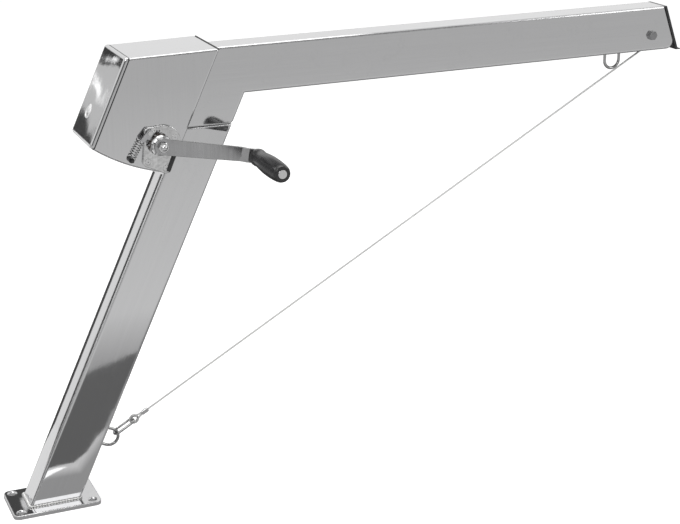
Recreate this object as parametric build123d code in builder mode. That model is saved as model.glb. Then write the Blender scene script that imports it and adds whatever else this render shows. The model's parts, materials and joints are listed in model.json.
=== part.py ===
"""Fixed lifting davit with an enclosed hand winch, a crank and a hook cable.

Millimetres, +Z up, +X outboard along the arm. The crank is on the -Y side.
The origin is the centre of the base plate's underside.
Heights called up are measured along the column from its foot, and distances
called forward are measured square to it from the column's back face.
"""

from build123d import *
import math
import os

os.makedirs("parts", exist_ok=True)

# Base plate
base_length = 170
base_width = 112
base_thickness = 8
base_corner = 12
base_edge = 1
deck_hole = 13
deck_sink = 18
deck_hole_inset_x = 16
deck_hole_inset_y = 14

# Rectangular tube of the column and the arm
tube_depth = 90
tube_width = 60
tube_wall = 3
tube_corner = 4
lean = 24.7
arm_rise = 0.5
knee_above_drum = 84.7
seam_above_crank = 13.1
knee_radius = 14
reach = 1358
end_slant = 20
end_corner = 15
window_width = 50
window_height = 26

# Winch housing behind the knee
housing_depth = 152
housing_near = 60
housing_far = 78
housing_wall = 3
housing_bend = 4
housing_front_below = 45
housing_rear_below = 51
housing_belly = 8.5
housing_front_above = 3.5
housing_rear_above = -0.5
cover_depth = 8
cover_round = 6
cover_corner = 6.5
cover_wall = 2.5
lock_side = 24
lock_up = 59
lock_head = 9
lock_dome = 3
lock_barrel = 6
lock_slot = 2
cam_length = 26
cam_width = 14
cam_thickness = 3
cam_reach = 18
keeper_width = 20
keeper_thickness = 2
keeper_height = 45

# Winch train
module = 2.5
pinion_teeth = 12
gear_teeth = 48
pressure_angle = 25
tooth_height = 0.8
tooth_root = 1.0
backlash = 0.36
gear_width = 14
gear_web = 5
gear_rim = 5
pinion_overlap = 1
pinion_hub = 7
pinion_hub_radius = 11
mesh_angle = 117
crank_back = 44
crank_up = 749
drum_half = 24
drum_core = 24
drum_flange = 56
flange_thickness = 4
flange_edge = 1
drum_hub = 16
winding_radius = 30
axle_radius = 8
axle_head = 12
axle_head_thickness = 4
axle_nut_flats = 24
axle_nut_thickness = 8
thread_chamfer = 1
bush_wall = 3
bush_length = 14
spacer_wall = 4
shaft_radius = 7
running_fit = 0.05
end_play = 0.3
bush_proud = 1
clip_thickness = 1.2
clip_depth = 0.8
clip_reach = 2.4
hole_clearance = 0.2
gear_screw_circle = 37
gear_screw = 2.5
gear_screw_head = 4.25
lightening_hole = 6.5

# Bent frame that carries the winch train
frame_plate = 4
frame_near = 48
frame_far = 56
frame_above = 119
frame_below = 33
frame_bend = 3
frame_drum_lobe = 26
frame_crank_lobe = 20
frame_bolt_radius = 4
frame_bolt_flats = 13
frame_bolt_head = 5.3
frame_nut = 6.5
frame_bolt_side = 17
frame_bolt_from_foot = 24
frame_bolt_from_top = 18

# Hub bracket, ratchet and brake outside the near wall
bracket_thickness = 5
bracket_round = 33
bracket_back = 36
bracket_above = 4
bracket_lobe = 10
bracket_foot = 42
bracket_lobe_rear = 14
bracket_lobe_front = 23
bracket_edge = 1.5
hub_screw = 3
hub_screw_head = 5.5
disc_radius = 19
disc_thickness = 3
ratchet_teeth = 12
ratchet_tip = 21
ratchet_root = 17.5
ratchet_land = 0.12
ratchet_thickness = 6
pressure_radius = 17
pressure_thickness = 7
pressure_edge = 2
pawl_back = 26
pawl_up = 14
pawl_eye = 6
pawl_nose = 2
pawl_tail = 4
pawl_thickness = 5
pawl_pin_radius = 3
pin_head = 4.5
spring_radius = 3.5
spring_wire = 1
pin_head_thickness = 1.5
nose_back = 23.6
nose_up = 3
tail_back = 33
tail_down = 2
anchor_radius = 2.5
anchor_back = 37.5
anchor_down = 45

# Crank and grip
crank_length = 180
crank_drop = 11.2
crank_plate = 6
crank_root_width = 30
crank_end_width = 26
crank_step = 6
step_start = 28
step_end = 16
crank_square = 11
stud_radius = 5
stud_length = 5
crank_nut_flats = 17
crank_nut_height = 7
crown_radius = 6.5
grip_length = 132
grip_collar = 16
collar_middle = 4
collar_end = 9.2
neck_along = 21
belly_from_end = 20
shoulder_length = 5.3
grip_edge = 2
grip_neck = 12
grip_belly = 16.5
grip_recess = 9.2
grip_recess_depth = 4
spindle_radius = 5
spindle_head = 8.5
spindle_edge = 0.5
rivet_head = 8
rivet_thickness = 3

# Tip sheave and end cap
sheave_setback = 61
sheave_drop = 13
sheave_groove = 27.4
sheave_rim = 34
sheave_width = 14
rim_thickness = 2
sheave_bolt_radius = 5
sheave_bolt_flats = 17
sheave_bolt_head = 7
sheave_nut_thickness = 8
slot_half_width = 12
slot_behind = 35
slot_ahead = 39
cap_flange = 5
cap_plug = 12
cap_lip = 7
cap_edge = 1.5

# Cable, eyes and hook
cable_diameter = 4
cable_gap = 0.3
bend_slack = 1
eye_wire = 6
eye_spacing = 34
column_eye_projection = 40
arm_eye_projection = 38
eye_nut_flats = 10
eye_nut_thickness = 5
column_eye_up = 166
arm_eye_back = 136
hook_wire = 5
hook_length = 50
hook_width = 23
hook_nose = 2
gate_radius = 2.4
gate_gap = 0.5
hinge_back = 12
hinge_pin = 1.1
tongue_thickness = 2
tongue_radius = 2
fork_slot = 2.4
thimble_radius = 5.2
thimble_wall = 1.2
thimble_width = 5
loop_flare = 14
ferrule_lead = 19
ferrule_length = 14
ferrule_width = 9.6
ferrule_height = 6
ferrule_edge = 0.3

SIDE = Vector(0, -1, 0)
FAR_SIDE = Vector(0, 1, 0)
forward_axis = Vector(math.cos(math.radians(lean)), 0, -math.sin(math.radians(lean)))
up_axis = Vector(math.sin(math.radians(lean)), 0, math.cos(math.radians(lean)))
foot_back = Vector(-tube_depth / up_axis.Z / 2, 0, base_thickness)


def leaning_point(forward, up, y=0.0):
    """A place given by its distance forward of the column's back face and up the column."""
    return foot_back + forward_axis * forward + up_axis * up + Vector(0, y, 0)


def leaning_plane(y=0.0):
    """Plane square to Y: local x is the distance forward and local y the distance up."""
    return Plane(origin=leaning_point(0, 0, y), x_dir=forward_axis, z_dir=SIDE)


def facing_plane(forward, up, y=0.0):
    """Plane square to the forward direction: local x along +Y and local y up the column."""
    return Plane(origin=leaning_point(forward, up, y), x_dir=(0, 1, 0), z_dir=forward_axis)


def cross_plane(centre, y, facing=SIDE):
    """Plane square to Y through a place, at side position y."""
    return Plane(origin=(centre.X, y, centre.Z), x_dir=(1, 0, 0), z_dir=facing)


def cross_axis(centre):
    """The axis along +Y through a place."""
    return Axis((centre.X, 0, centre.Z), (0, 1, 0))


def turning_plane(centre):
    """Plane for a profile turned about a cross axis: local x along +Y and local y the radius."""
    return Plane(origin=(centre.X, 0, centre.Z), x_dir=(0, 1, 0), z_dir=(1, 0, 0))


def leaning_local(place):
    """A place as a point of a sketch on a leaning plane."""
    return ((place - foot_back).dot(forward_axis), (place - foot_back).dot(up_axis))


def up_for_height(forward, z):
    """How far up the column a point lies that is so far forward and at height z."""
    return (z - foot_back.Z - forward_axis.Z * forward) / up_axis.Z


def direction(angle):
    """Unit vector in the upright plane at an angle in degrees above +X."""
    return Vector(math.cos(math.radians(angle)), 0, math.sin(math.radians(angle)))


def angle_between(start, end):
    """Angle in degrees above +X of the line from start to end."""
    return math.degrees(math.atan2(end.Z - start.Z, end.X - start.X))


def flat(place):
    """The X and Z of a place, as a point of an upright sketch."""
    return (place.X, place.Z)


def turned(centre, *corners):
    """Closed profile through (side position, radius) corners, ready to turn about a cross axis."""
    with BuildSketch(turning_plane(centre)) as profile:
        with BuildLine():
            Polyline(*corners, close=True)
        make_face()
    return profile.sketch


def sleeve(centre, start, end, inner, outer):
    """Profile of a plain ring between two side positions."""
    return turned(centre, (start, inner), (start, outer), (end, outer), (end, inner))


def hexagon(flats, bore, thickness):
    """A hexagon nut on the XY plane, with the corners of its upper face turned back."""
    corner = flats / math.sqrt(3)
    slope = (corner - flats / 2) * math.tan(math.radians(30))
    with BuildPart() as nut:
        with BuildSketch():
            RegularPolygon(flats / 2, 6, major_radius=False)
        extrude(amount=thickness)
        with BuildSketch(Plane.XZ):
            with BuildLine():
                Polyline((0, 0), (corner, 0), (corner, thickness - slope),
                         (flats / 2, thickness), (0, thickness), close=True)
            make_face()
        revolve(axis=Axis.Z, mode=Mode.INTERSECT)
        if bore > 0:
            Hole(bore)
    return nut.part


def finish(piece, label):
    """Name a finished piece and write it."""
    piece.part.label = label
    export_step(piece.part, "parts/" + label + ".step")


# The crank's height sets the drum, and the drum sets the knee and the arm above it
crank_centre = leaning_point(-crank_back, crank_up)
centre_distance = module * (pinion_teeth + gear_teeth) / 2
mesh_direction = direction(mesh_angle - lean)
drum_centre = crank_centre + mesh_direction * centre_distance
knee_top = drum_centre.Z + knee_above_drum
column_top = crank_centre.Z + seam_above_crank
housing_front_foot = crank_up - housing_front_below
housing_rear_foot = crank_up - housing_rear_below
frame_top = crank_up + frame_above
frame_foot = crank_up - frame_below
frame_bolt_low = frame_foot + frame_bolt_from_foot
frame_bolt_high = frame_top - frame_bolt_from_top
bracket_up = crank_up + bracket_above

# Arm frame: along the arm from the outer knee corner, and square to it
arm_direction = direction(arm_rise)
arm_up = direction(arm_rise + 90)
knee_corner = leaning_point(0, up_for_height(0, knee_top))
mitre = math.cos(math.radians(lean + arm_rise))
arm_length = (reach - knee_corner.X - tube_depth * arm_direction.Z) / arm_direction.X
end_run = math.tan(math.radians(end_slant))


def arm_point(along, above, y=0.0):
    """A place given by its distance along the arm and above the arm's top face."""
    return knee_corner + arm_direction * along + arm_up * above + Vector(0, y, 0)


def knee_point(depth):
    """Where the column and the arm meet at a depth inside their outer faces."""
    return knee_corner + (arm_direction - up_axis) * (depth / mitre)


def end_point(depth, beyond=0.0):
    """A point of the slanted end at a depth below the arm's top face."""
    return arm_point(arm_length - (tube_depth - depth) * end_run + beyond, -depth)


def knee_outline(inset, overrun):
    """Corners of the knee and the arm, inset from the tube's faces and run past its ends."""
    inner = tube_depth - inset
    low = column_top - overrun
    back = leaning_point(inset, up_for_height(inset, low))
    front = leaning_point(inner, up_for_height(inner, low))
    places = (back, knee_point(inset), end_point(inset, overrun), end_point(inner, overrun))
    return [flat(place) for place in places + (knee_point(inner), front)]


# Places that several pieces share
sheave_centre = arm_point(arm_length - sheave_setback, -tube_depth / 2 - sheave_drop)
eye_arc = eye_spacing / 2
column_eye_reach = column_eye_projection - eye_wire / 2 - eye_arc
arm_eye_reach = arm_eye_projection - eye_wire / 2 - eye_arc
column_eye_centre = leaning_point(tube_depth + column_eye_reach, column_eye_up)
arm_eye_along = arm_length - arm_eye_back
drum_wrap = winding_radius + cable_gap + cable_diameter / 2
sheave_wrap = sheave_groove + cable_gap + cable_diameter / 2

# The cable leaves the top of the winding, turns over the sheave and runs down to the hook
inner_angle = angle_between(drum_centre, sheave_centre) - math.degrees(
    math.asin((drum_wrap - sheave_wrap) / (sheave_centre - drum_centre).length))
pull_angle = angle_between(column_eye_centre, sheave_centre) - math.degrees(
    math.asin(sheave_wrap / (sheave_centre - column_eye_centre).length))
run_direction = direction(inner_angle)
pull = direction(pull_angle)
pull_side = direction(pull_angle + 90)
drum_top = drum_centre + direction(inner_angle + 90) * drum_wrap
window_along = (foot_back - drum_top).dot(forward_axis) / run_direction.dot(forward_axis)
window_up = (drum_top + run_direction * window_along - foot_back).dot(up_axis)

# Places on the near wall of the housing: bracket screws, pawl pivot and spring anchor
bush_bore = shaft_radius + running_fit
bush_outside = bush_bore + bush_wall
pawl_pivot = leaning_point(-crank_back - pawl_back, crank_up + pawl_up)
anchor_place = leaning_point(-crank_back - anchor_back, crank_up - anchor_down)
bracket_lobes = [leaning_point(-bracket_back - bracket_lobe_rear, bracket_up - bracket_foot),
                 leaning_point(-bracket_back + bracket_lobe_front, bracket_up - bracket_foot)]
upper_screw = leaning_point(-bracket_back + bracket_round / 2, bracket_up + bracket_round / 2)
screw_places = bracket_lobes + [upper_screw]

# Base plate with four countersunk deck holes
with BuildPart() as base_plate:
    with BuildSketch():
        RectangleRounded(base_length, base_width, base_corner)
    extrude(amount=base_thickness)
    chamfer(base_plate.faces().sort_by(Axis.Z)[-1].edges(), base_edge)
    with Locations(Plane.XY.offset(base_thickness)):
        with GridLocations(base_length - 2 * deck_hole_inset_x, base_width - 2 * deck_hole_inset_y, 2, 2):
            CounterSinkHole(deck_hole / 2, deck_sink / 2)
finish(base_plate, "base_plate")

# Column: rounded rectangular tube, cut level at its foot and its top
column_section = Plane(origin=(0, 0, base_thickness), x_dir=forward_axis, z_dir=up_axis)
with BuildPart() as column:
    with BuildSketch(column_section.offset(-tube_depth)):
        RectangleRounded(tube_depth, tube_width, tube_corner)
        RectangleRounded(tube_depth - 2 * tube_wall, tube_width - 2 * tube_wall,
                         tube_corner / 2, mode=Mode.SUBTRACT)
    extrude(amount=column_top / up_axis.Z + 2 * tube_depth)
    split(bisect_by=Plane.XY.offset(base_thickness), keep=Keep.TOP)
    split(bisect_by=Plane.XY.offset(column_top), keep=Keep.BOTTOM)
    with Locations(facing_plane(tube_depth, column_eye_up)):
        with GridLocations(1, eye_spacing, 1, 2):
            Hole(eye_wire / 2 + running_fit, 2 * tube_wall)
    with Locations(facing_plane(2 * tube_wall, frame_bolt_low)):
        with GridLocations(2 * frame_bolt_side, 1, 2, 1):
            Hole(frame_bolt_radius + hole_clearance, 3 * tube_wall)
finish(column, "column")

# Arm with its knee: one mitred tube whose foot stands on the column
with BuildPart() as arm:
    with BuildSketch(cross_plane(Vector(0, 0, 0), tube_width / 2)) as knee_side:
        with BuildLine():
            Polyline(*knee_outline(0, 0), close=True)
        make_face()
        fillet(knee_side.vertices().sort_by_distance(
            (knee_point(tube_depth).X, tube_width / 2, knee_point(tube_depth).Z))[0], knee_radius)
        fillet(knee_side.vertices().sort_by(Axis.X)[-1], end_corner)
    extrude(amount=tube_width)
    side_edges = arm.faces().filter_by(Axis.Y).edges()
    long_edges = side_edges.filter_by_position(Axis.Z, column_top + 1, 2 * column_top)
    end_middle = end_point(tube_depth / 2, -1)
    fillet([edge for edge in long_edges
            if (edge.center() - end_middle).dot(direction(-end_slant)) < -end_corner], tube_corner)
    with BuildSketch(cross_plane(Vector(0, 0, 0), tube_width / 2 - tube_wall)):
        with BuildLine():
            Polyline(*knee_outline(tube_wall, tube_wall), close=True)
        make_face()
    extrude(amount=tube_width - 2 * tube_wall, mode=Mode.SUBTRACT)
    with BuildSketch(facing_plane(-tube_wall, window_up)):
        RectangleRounded(window_width, window_height, tube_wall)
    extrude(amount=3 * tube_wall, mode=Mode.SUBTRACT)
    with BuildSketch(Plane(origin=arm_point(arm_length - sheave_setback + (slot_ahead - slot_behind) / 2,
                                            -tube_depth - tube_wall),
                           x_dir=arm_direction, z_dir=arm_up)):
        SlotOverall(slot_ahead + slot_behind, 2 * slot_half_width)
    extrude(amount=3 * tube_wall, mode=Mode.SUBTRACT)
    with Locations(cross_plane(sheave_centre, -tube_width / 2)):
        Hole(sheave_bolt_radius + hole_clearance, tube_width)
    with Locations(Plane(origin=arm_point(arm_eye_along, -tube_depth), x_dir=arm_direction, z_dir=-arm_up)):
        with GridLocations(eye_spacing, 1, 2, 1):
            Hole(eye_wire / 2 + running_fit, 2 * tube_wall)
    with Locations(facing_plane(2 * tube_wall, frame_bolt_high)):
        with GridLocations(2 * frame_bolt_side, 1, 2, 1):
            Hole(frame_bolt_radius + hole_clearance, 3 * tube_wall)
finish(arm, "arm")

# Winch housing: folded sheet box behind the knee, open towards its rear cover
front_top_up = up_for_height(0, knee_top + housing_front_above)
rear_top_up = up_for_height(-housing_depth, knee_top + housing_rear_above)
belly_up = (housing_front_foot + housing_rear_foot) / 2 - housing_belly
housing_width = housing_near + housing_far
housing_side = (housing_far - housing_near) / 2
lock_height = housing_rear_foot + lock_up
cover_back = housing_depth + cover_depth
cam_front = cover_back - cam_reach


def housing_outline(plane, inset, overrun):
    """Side outline of the housing, inset all round, with its rear moved back by an overrun."""
    top_slope = (front_top_up - rear_top_up) / housing_depth
    with BuildSketch(plane) as outline:
        with BuildLine():
            floor = ThreePointArc((0, housing_front_foot), (-housing_depth / 2, belly_up),
                                  (-housing_depth, housing_rear_foot))
            floor_way = floor % 1
            rear_low = floor @ 1 + floor_way * (overrun / -floor_way.X)
            rear_high = (rear_low.X, rear_top_up - top_slope * overrun)
            if overrun > 0:
                Line(floor @ 1, rear_low)
            Polyline(rear_low, rear_high, (0, front_top_up), floor @ 0)
        make_face()
        if inset > 0:
            offset(amount=-inset, kind=Kind.INTERSECTION)
    return outline.sketch


with BuildPart() as winch_housing:
    extrude(housing_outline(leaning_plane(housing_far), 0, 0), amount=housing_width)
    rear_face = winch_housing.faces().filter_by(Plane(origin=(0, 0, 0), z_dir=forward_axis))
    rear_face = rear_face.sort_by(Axis.X)[0]
    bends = [edge for edge in winch_housing.edges() if edge not in rear_face.edges()]
    fillet(bends, housing_bend)
    extrude(housing_outline(leaning_plane(housing_far - housing_wall), housing_wall, 3 * housing_wall),
            amount=housing_width - 2 * housing_wall, mode=Mode.SUBTRACT)
    with BuildSketch(facing_plane(-cam_front, housing_rear_foot + keeper_height / 2, lock_side)):
        Rectangle(keeper_width, keeper_height)
    extrude(amount=keeper_thickness)
    with BuildSketch(facing_plane(-2 * housing_wall, window_up)):
        RectangleRounded(window_width, window_height, tube_wall)
    extrude(amount=3 * housing_wall, mode=Mode.SUBTRACT)
    with Locations(facing_plane(housing_wall, (frame_bolt_low + frame_bolt_high) / 2)):
        with GridLocations(2 * frame_bolt_side, frame_bolt_high - frame_bolt_low, 2, 2):
            Hole(frame_bolt_radius + hole_clearance, 3 * housing_wall)
    with Locations(cross_plane(crank_centre, -housing_near)):
        Hole(bush_outside + running_fit, 2 * housing_wall)
    with Locations(*[cross_plane(place, -housing_near) for place in screw_places]):
        Hole(hub_screw + running_fit, 2 * housing_wall)
    with Locations(cross_plane(pawl_pivot, -housing_near)):
        Hole(pawl_pin_radius + running_fit, 2 * housing_wall)
    with Locations(cross_plane(anchor_place, -housing_near)):
        Hole(anchor_radius + running_fit, 2 * housing_wall)
finish(winch_housing, "winch_housing")

# Rear cover: shallow pressed pan against the rear rim of the housing, with the lock's hole
rearward = Axis((0, 0, 0), -forward_axis)
cover_plane = Plane(origin=leaning_point(-housing_depth, (rear_top_up + housing_rear_foot) / 2, housing_side),
                    x_dir=SIDE, z_dir=-forward_axis)
with BuildPart() as rear_cover:
    with BuildSketch(cover_plane):
        RectangleRounded(housing_width, rear_top_up - housing_rear_foot, cover_corner)
    extrude(amount=cover_depth)
    fillet(rear_cover.faces().sort_by(rearward)[-1].edges(), cover_round)
    offset(amount=-cover_wall, openings=rear_cover.faces().sort_by(rearward)[0])
    with Locations(facing_plane(-cover_back + 2 * cover_wall, lock_height, lock_side)):
        Hole(lock_barrel + hole_clearance, 3 * cover_wall)
finish(rear_cover, "rear_cover")

# Coin lock: domed slotted head outside the cover, barrel through it and cam behind the keeper
dome_radius = (lock_head ** 2 + lock_dome ** 2) / (2 * lock_dome)
dome_middle = dome_radius - lock_dome - math.sqrt(dome_radius ** 2 - lock_head ** 2 / 4)
with BuildPart() as cover_lock:
    with BuildSketch(Plane(origin=leaning_point(-cover_back, lock_height, lock_side),
                           x_dir=up_axis, z_dir=FAR_SIDE)):
        with BuildLine():
            dome = ThreePointArc((0, -lock_dome), (lock_head / 2, dome_middle), (lock_head, 0))
            Polyline(dome @ 1, (lock_barrel, 0), (lock_barrel, cam_reach - cam_thickness),
                     (0, cam_reach - cam_thickness), dome @ 0)
        make_face()
    revolve(axis=Axis(leaning_point(-cover_back, lock_height, lock_side), forward_axis))
    with BuildSketch(facing_plane(-cam_front - cam_thickness, lock_height - cam_length / 2 + cam_width / 2,
                                  lock_side)):
        SlotOverall(cam_length, cam_width, rotation=90)
    extrude(amount=cam_thickness)
    with BuildSketch(facing_plane(-cover_back - lock_dome, lock_height, lock_side)):
        Rectangle(lock_slot, 2 * lock_head)
    extrude(amount=lock_dome / 2, mode=Mode.SUBTRACT)
finish(cover_lock, "cover_lock")

# Winch frame: bent channel bolted through the housing to the column and the knee
frame_web = housing_wall + frame_plate
frame_gap = frame_near + frame_far
with BuildPart() as winch_frame:
    with BuildSketch(leaning_plane(frame_far + frame_plate)):
        with Locations((-housing_wall - frame_plate / 2, (frame_top + frame_foot) / 2)):
            Rectangle(frame_plate, frame_top - frame_foot)
        with Locations(leaning_local(drum_centre)):
            Circle(frame_drum_lobe)
        with Locations(leaning_local(crank_centre)):
            Circle(frame_crank_lobe)
        make_hull()
    extrude(amount=frame_gap + 2 * frame_plate)
    bend_edges = winch_frame.faces().filter_by(Plane(origin=(0, 0, 0), z_dir=forward_axis))
    fillet(bend_edges.sort_by(Axis.X)[-1].edges().filter_by(Axis((0, 0, 0), up_axis)), frame_bend)
    with BuildSketch(facing_plane(-frame_web, (frame_top + frame_foot) / 2, (frame_far - frame_near) / 2)):
        Rectangle(frame_gap, 2 * frame_top)
    extrude(amount=-2 * frame_top, mode=Mode.SUBTRACT)
    with Locations(facing_plane(-housing_wall, (frame_bolt_low + frame_bolt_high) / 2)):
        with GridLocations(2 * frame_bolt_side, frame_bolt_high - frame_bolt_low, 2, 2):
            Hole(frame_bolt_radius + hole_clearance, 2 * frame_plate)
    with Locations(cross_plane(drum_centre, -frame_near - frame_plate)):
        Hole(axle_radius + running_fit, frame_gap + 2 * frame_plate)
    with Locations(cross_plane(crank_centre, -frame_near - frame_plate)):
        Hole(shaft_radius + bush_wall + 2 * running_fit, frame_gap + 2 * frame_plate)
finish(winch_frame, "winch_frame")

# Frame bolts with their heads inside the channel and nuts inside the tubes
bolt_places = [(side, up) for side in (-frame_bolt_side, frame_bolt_side)
               for up in (frame_bolt_low, frame_bolt_high)]
bolt_length = frame_web + tube_wall + frame_nut + frame_bolt_radius / 2
frame_bolt_hex = hexagon(frame_bolt_flats, 0, frame_bolt_head)
with BuildPart() as frame_bolts:
    for side, up in bolt_places:
        with Locations(facing_plane(-frame_web, up, side)):
            Cylinder(frame_bolt_radius, bolt_length, align=(Align.CENTER, Align.CENTER, Align.MIN))
            add(frame_bolt_hex, rotation=(180, 0, 0))
finish(frame_bolts, "frame_bolts")

frame_nut_hex = hexagon(frame_bolt_flats, frame_bolt_radius + running_fit, frame_nut)
with BuildPart() as frame_nuts:
    for side, up in bolt_places:
        with Locations(facing_plane(tube_wall, up, side)):
            add(frame_nut_hex)
finish(frame_nuts, "frame_nuts")

# Drum axle: a headed pin across the channel, with its nut on the far side
axle_end = frame_far + frame_plate + axle_nut_thickness
with BuildPart() as drum_axle:
    revolve(turned(
        drum_centre,
        (-frame_near - frame_plate - axle_head_thickness, 0),
        (-frame_near - frame_plate - axle_head_thickness, axle_head),
        (-frame_near - frame_plate, axle_head),
        (-frame_near - frame_plate, axle_radius),
        (axle_end, axle_radius),
        (axle_end, 0),
    ), axis=cross_axis(drum_centre))
    chamfer(drum_axle.faces().sort_by(Axis.Y)[-1].edges(), thread_chamfer)
finish(drum_axle, "drum_axle")

axle_nut_hex = hexagon(axle_nut_flats, axle_radius + running_fit, axle_nut_thickness)
with BuildPart() as axle_nut:
    with Locations(cross_plane(drum_centre, frame_far + frame_plate, FAR_SIDE)):
        add(axle_nut_hex)
finish(axle_nut, "axle_nut")

# Drum: turned in one piece with its two flanges and the seat of its gear
drum_end = drum_half + flange_thickness
gear_end = drum_end + gear_width
drum_bore = axle_radius + running_fit + bush_wall
with BuildPart() as drum:
    revolve(turned(
        drum_centre,
        (-drum_end, drum_bore + running_fit),
        (-drum_end, drum_flange),
        (-drum_half, drum_flange),
        (-drum_half, drum_core),
        (drum_half, drum_core),
        (drum_half, drum_flange),
        (drum_end, drum_flange),
        (drum_end, drum_hub),
        (gear_end, drum_hub),
        (gear_end, drum_bore + running_fit),
    ), axis=cross_axis(drum_centre))
    rims = [edge for edge in drum.edges().filter_by(GeomType.CIRCLE)
            if edge.radius > (drum_core + drum_flange) / 2]
    fillet(rims, flange_edge)
    with Locations(cross_plane(drum_centre, drum_half, SIDE)):
        with PolarLocations(gear_screw_circle, 3):
            Hole(gear_screw + running_fit, 2 * flange_thickness)
finish(drum, "drum")

with BuildPart() as drum_bushes:
    revolve(sleeve(drum_centre, -drum_end, bush_length - drum_end, axle_radius + running_fit, drum_bore),
            axis=cross_axis(drum_centre))
    revolve(sleeve(drum_centre, gear_end - bush_length, gear_end, axle_radius + running_fit, drum_bore),
            axis=cross_axis(drum_centre))
finish(drum_bushes, "drum_bushes")

with BuildPart() as drum_spacers:
    revolve(sleeve(drum_centre, -frame_near, -drum_end - end_play,
                   axle_radius + running_fit, axle_radius + spacer_wall), axis=cross_axis(drum_centre))
    revolve(sleeve(drum_centre, gear_end + end_play, frame_far,
                   axle_radius + running_fit, axle_radius + spacer_wall), axis=cross_axis(drum_centre))
finish(drum_spacers, "drum_spacers")

# Cable wound on the drum, as the outer form of its turns
with BuildPart() as cable_on_drum:
    revolve(sleeve(drum_centre, -drum_half + end_play, drum_half - end_play,
                   drum_core + running_fit, winding_radius), axis=cross_axis(drum_centre))
finish(cable_on_drum, "cable_on_drum")


def involute(angle):
    """The involute function of an angle in radians."""
    return math.tan(angle) - angle


def half_tooth(teeth, radius):
    """Half the angle that a tooth takes at a radius, in radians."""
    pitch_radius = module * teeth / 2
    base_radius = pitch_radius * math.cos(math.radians(pressure_angle))
    at_pitch = math.pi / (2 * teeth) - backlash / (4 * pitch_radius)
    at_radius = math.acos(min(1, base_radius / radius))
    return at_pitch + involute(math.radians(pressure_angle)) - involute(at_radius)


def polar(radius, angle):
    """A point at a radius and an angle in radians."""
    return (radius * math.cos(angle), radius * math.sin(angle))


def toothed_disc(plane, teeth, first_tooth):
    """Outline of a spur gear with involute flanks, one of its teeth at an angle in degrees."""
    pitch_radius = module * teeth / 2
    tip = pitch_radius + module * tooth_height
    root = pitch_radius - module * tooth_root
    flank = max(root, pitch_radius * math.cos(math.radians(pressure_angle)))
    middle = (flank + tip) / 2
    step = 2 * math.pi / teeth
    with BuildSketch(plane) as disc:
        with BuildLine():
            for tooth in range(teeth):
                centre = math.radians(first_tooth) + tooth * step
                foot = half_tooth(teeth, flank)
                rise = ThreePointArc(polar(flank, centre - foot),
                                     polar(middle, centre - half_tooth(teeth, middle)),
                                     polar(tip, centre - half_tooth(teeth, tip)))
                fall = ThreePointArc(polar(tip, centre + half_tooth(teeth, tip)),
                                     polar(middle, centre + half_tooth(teeth, middle)),
                                     polar(flank, centre + foot))
                ThreePointArc(rise @ 1, polar(tip, centre), fall @ 0)
                if flank > root:
                    Line(polar(root, centre - foot), rise @ 0)
                    Line(fall @ 1, polar(root, centre + foot))
                ThreePointArc(polar(root, centre + foot), polar(root, centre + step / 2),
                              polar(root, centre + step - foot))
        make_face()
    return disc.sketch


# Gear train: a gap of the drum gear faces a tooth of the pinion
pinion_tooth_angle = mesh_angle - lean
gear_gap_angle = pinion_tooth_angle + 180 + 180 / gear_teeth
gear_root = module * gear_teeth / 2 - module * tooth_root
with BuildPart() as drum_gear:
    extrude(toothed_disc(cross_plane(drum_centre, gear_end), gear_teeth, gear_gap_angle), amount=gear_width)
    with BuildSketch(cross_plane(drum_centre, gear_end)):
        Circle(gear_root - gear_rim)
        Circle(drum_hub + gear_rim, mode=Mode.SUBTRACT)
    extrude(amount=gear_width - gear_web, mode=Mode.SUBTRACT)
    with Locations(cross_plane(drum_centre, drum_end)):
        Hole(drum_hub + running_fit)
        with PolarLocations(gear_screw_circle, 3):
            Hole(gear_screw + running_fit)
        with PolarLocations(gear_screw_circle, 3, start_angle=60):
            Hole(lightening_hole)
finish(drum_gear, "drum_gear")

with BuildPart() as gear_screws:
    with Locations(cross_plane(drum_centre, drum_end + gear_web, FAR_SIDE)):
        with PolarLocations(gear_screw_circle, 3):
            Cylinder(gear_screw_head, 2 * gear_screw, align=(Align.CENTER, Align.CENTER, Align.MIN))
            Cylinder(gear_screw, gear_web + flange_thickness, align=(Align.CENTER, Align.CENTER, Align.MAX))
finish(gear_screws, "gear_screws")

pinion_start = drum_end - pinion_overlap
pinion_end = gear_end + pinion_overlap
with BuildPart() as pinion:
    extrude(toothed_disc(cross_plane(crank_centre, pinion_end), pinion_teeth, pinion_tooth_angle),
            amount=pinion_end - pinion_start)
    with Locations(cross_plane(crank_centre, pinion_end, FAR_SIDE)):
        Cylinder(pinion_hub_radius, pinion_hub, align=(Align.CENTER, Align.CENTER, Align.MIN))
        Hole(shaft_radius + running_fit)
finish(pinion, "pinion")

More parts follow.
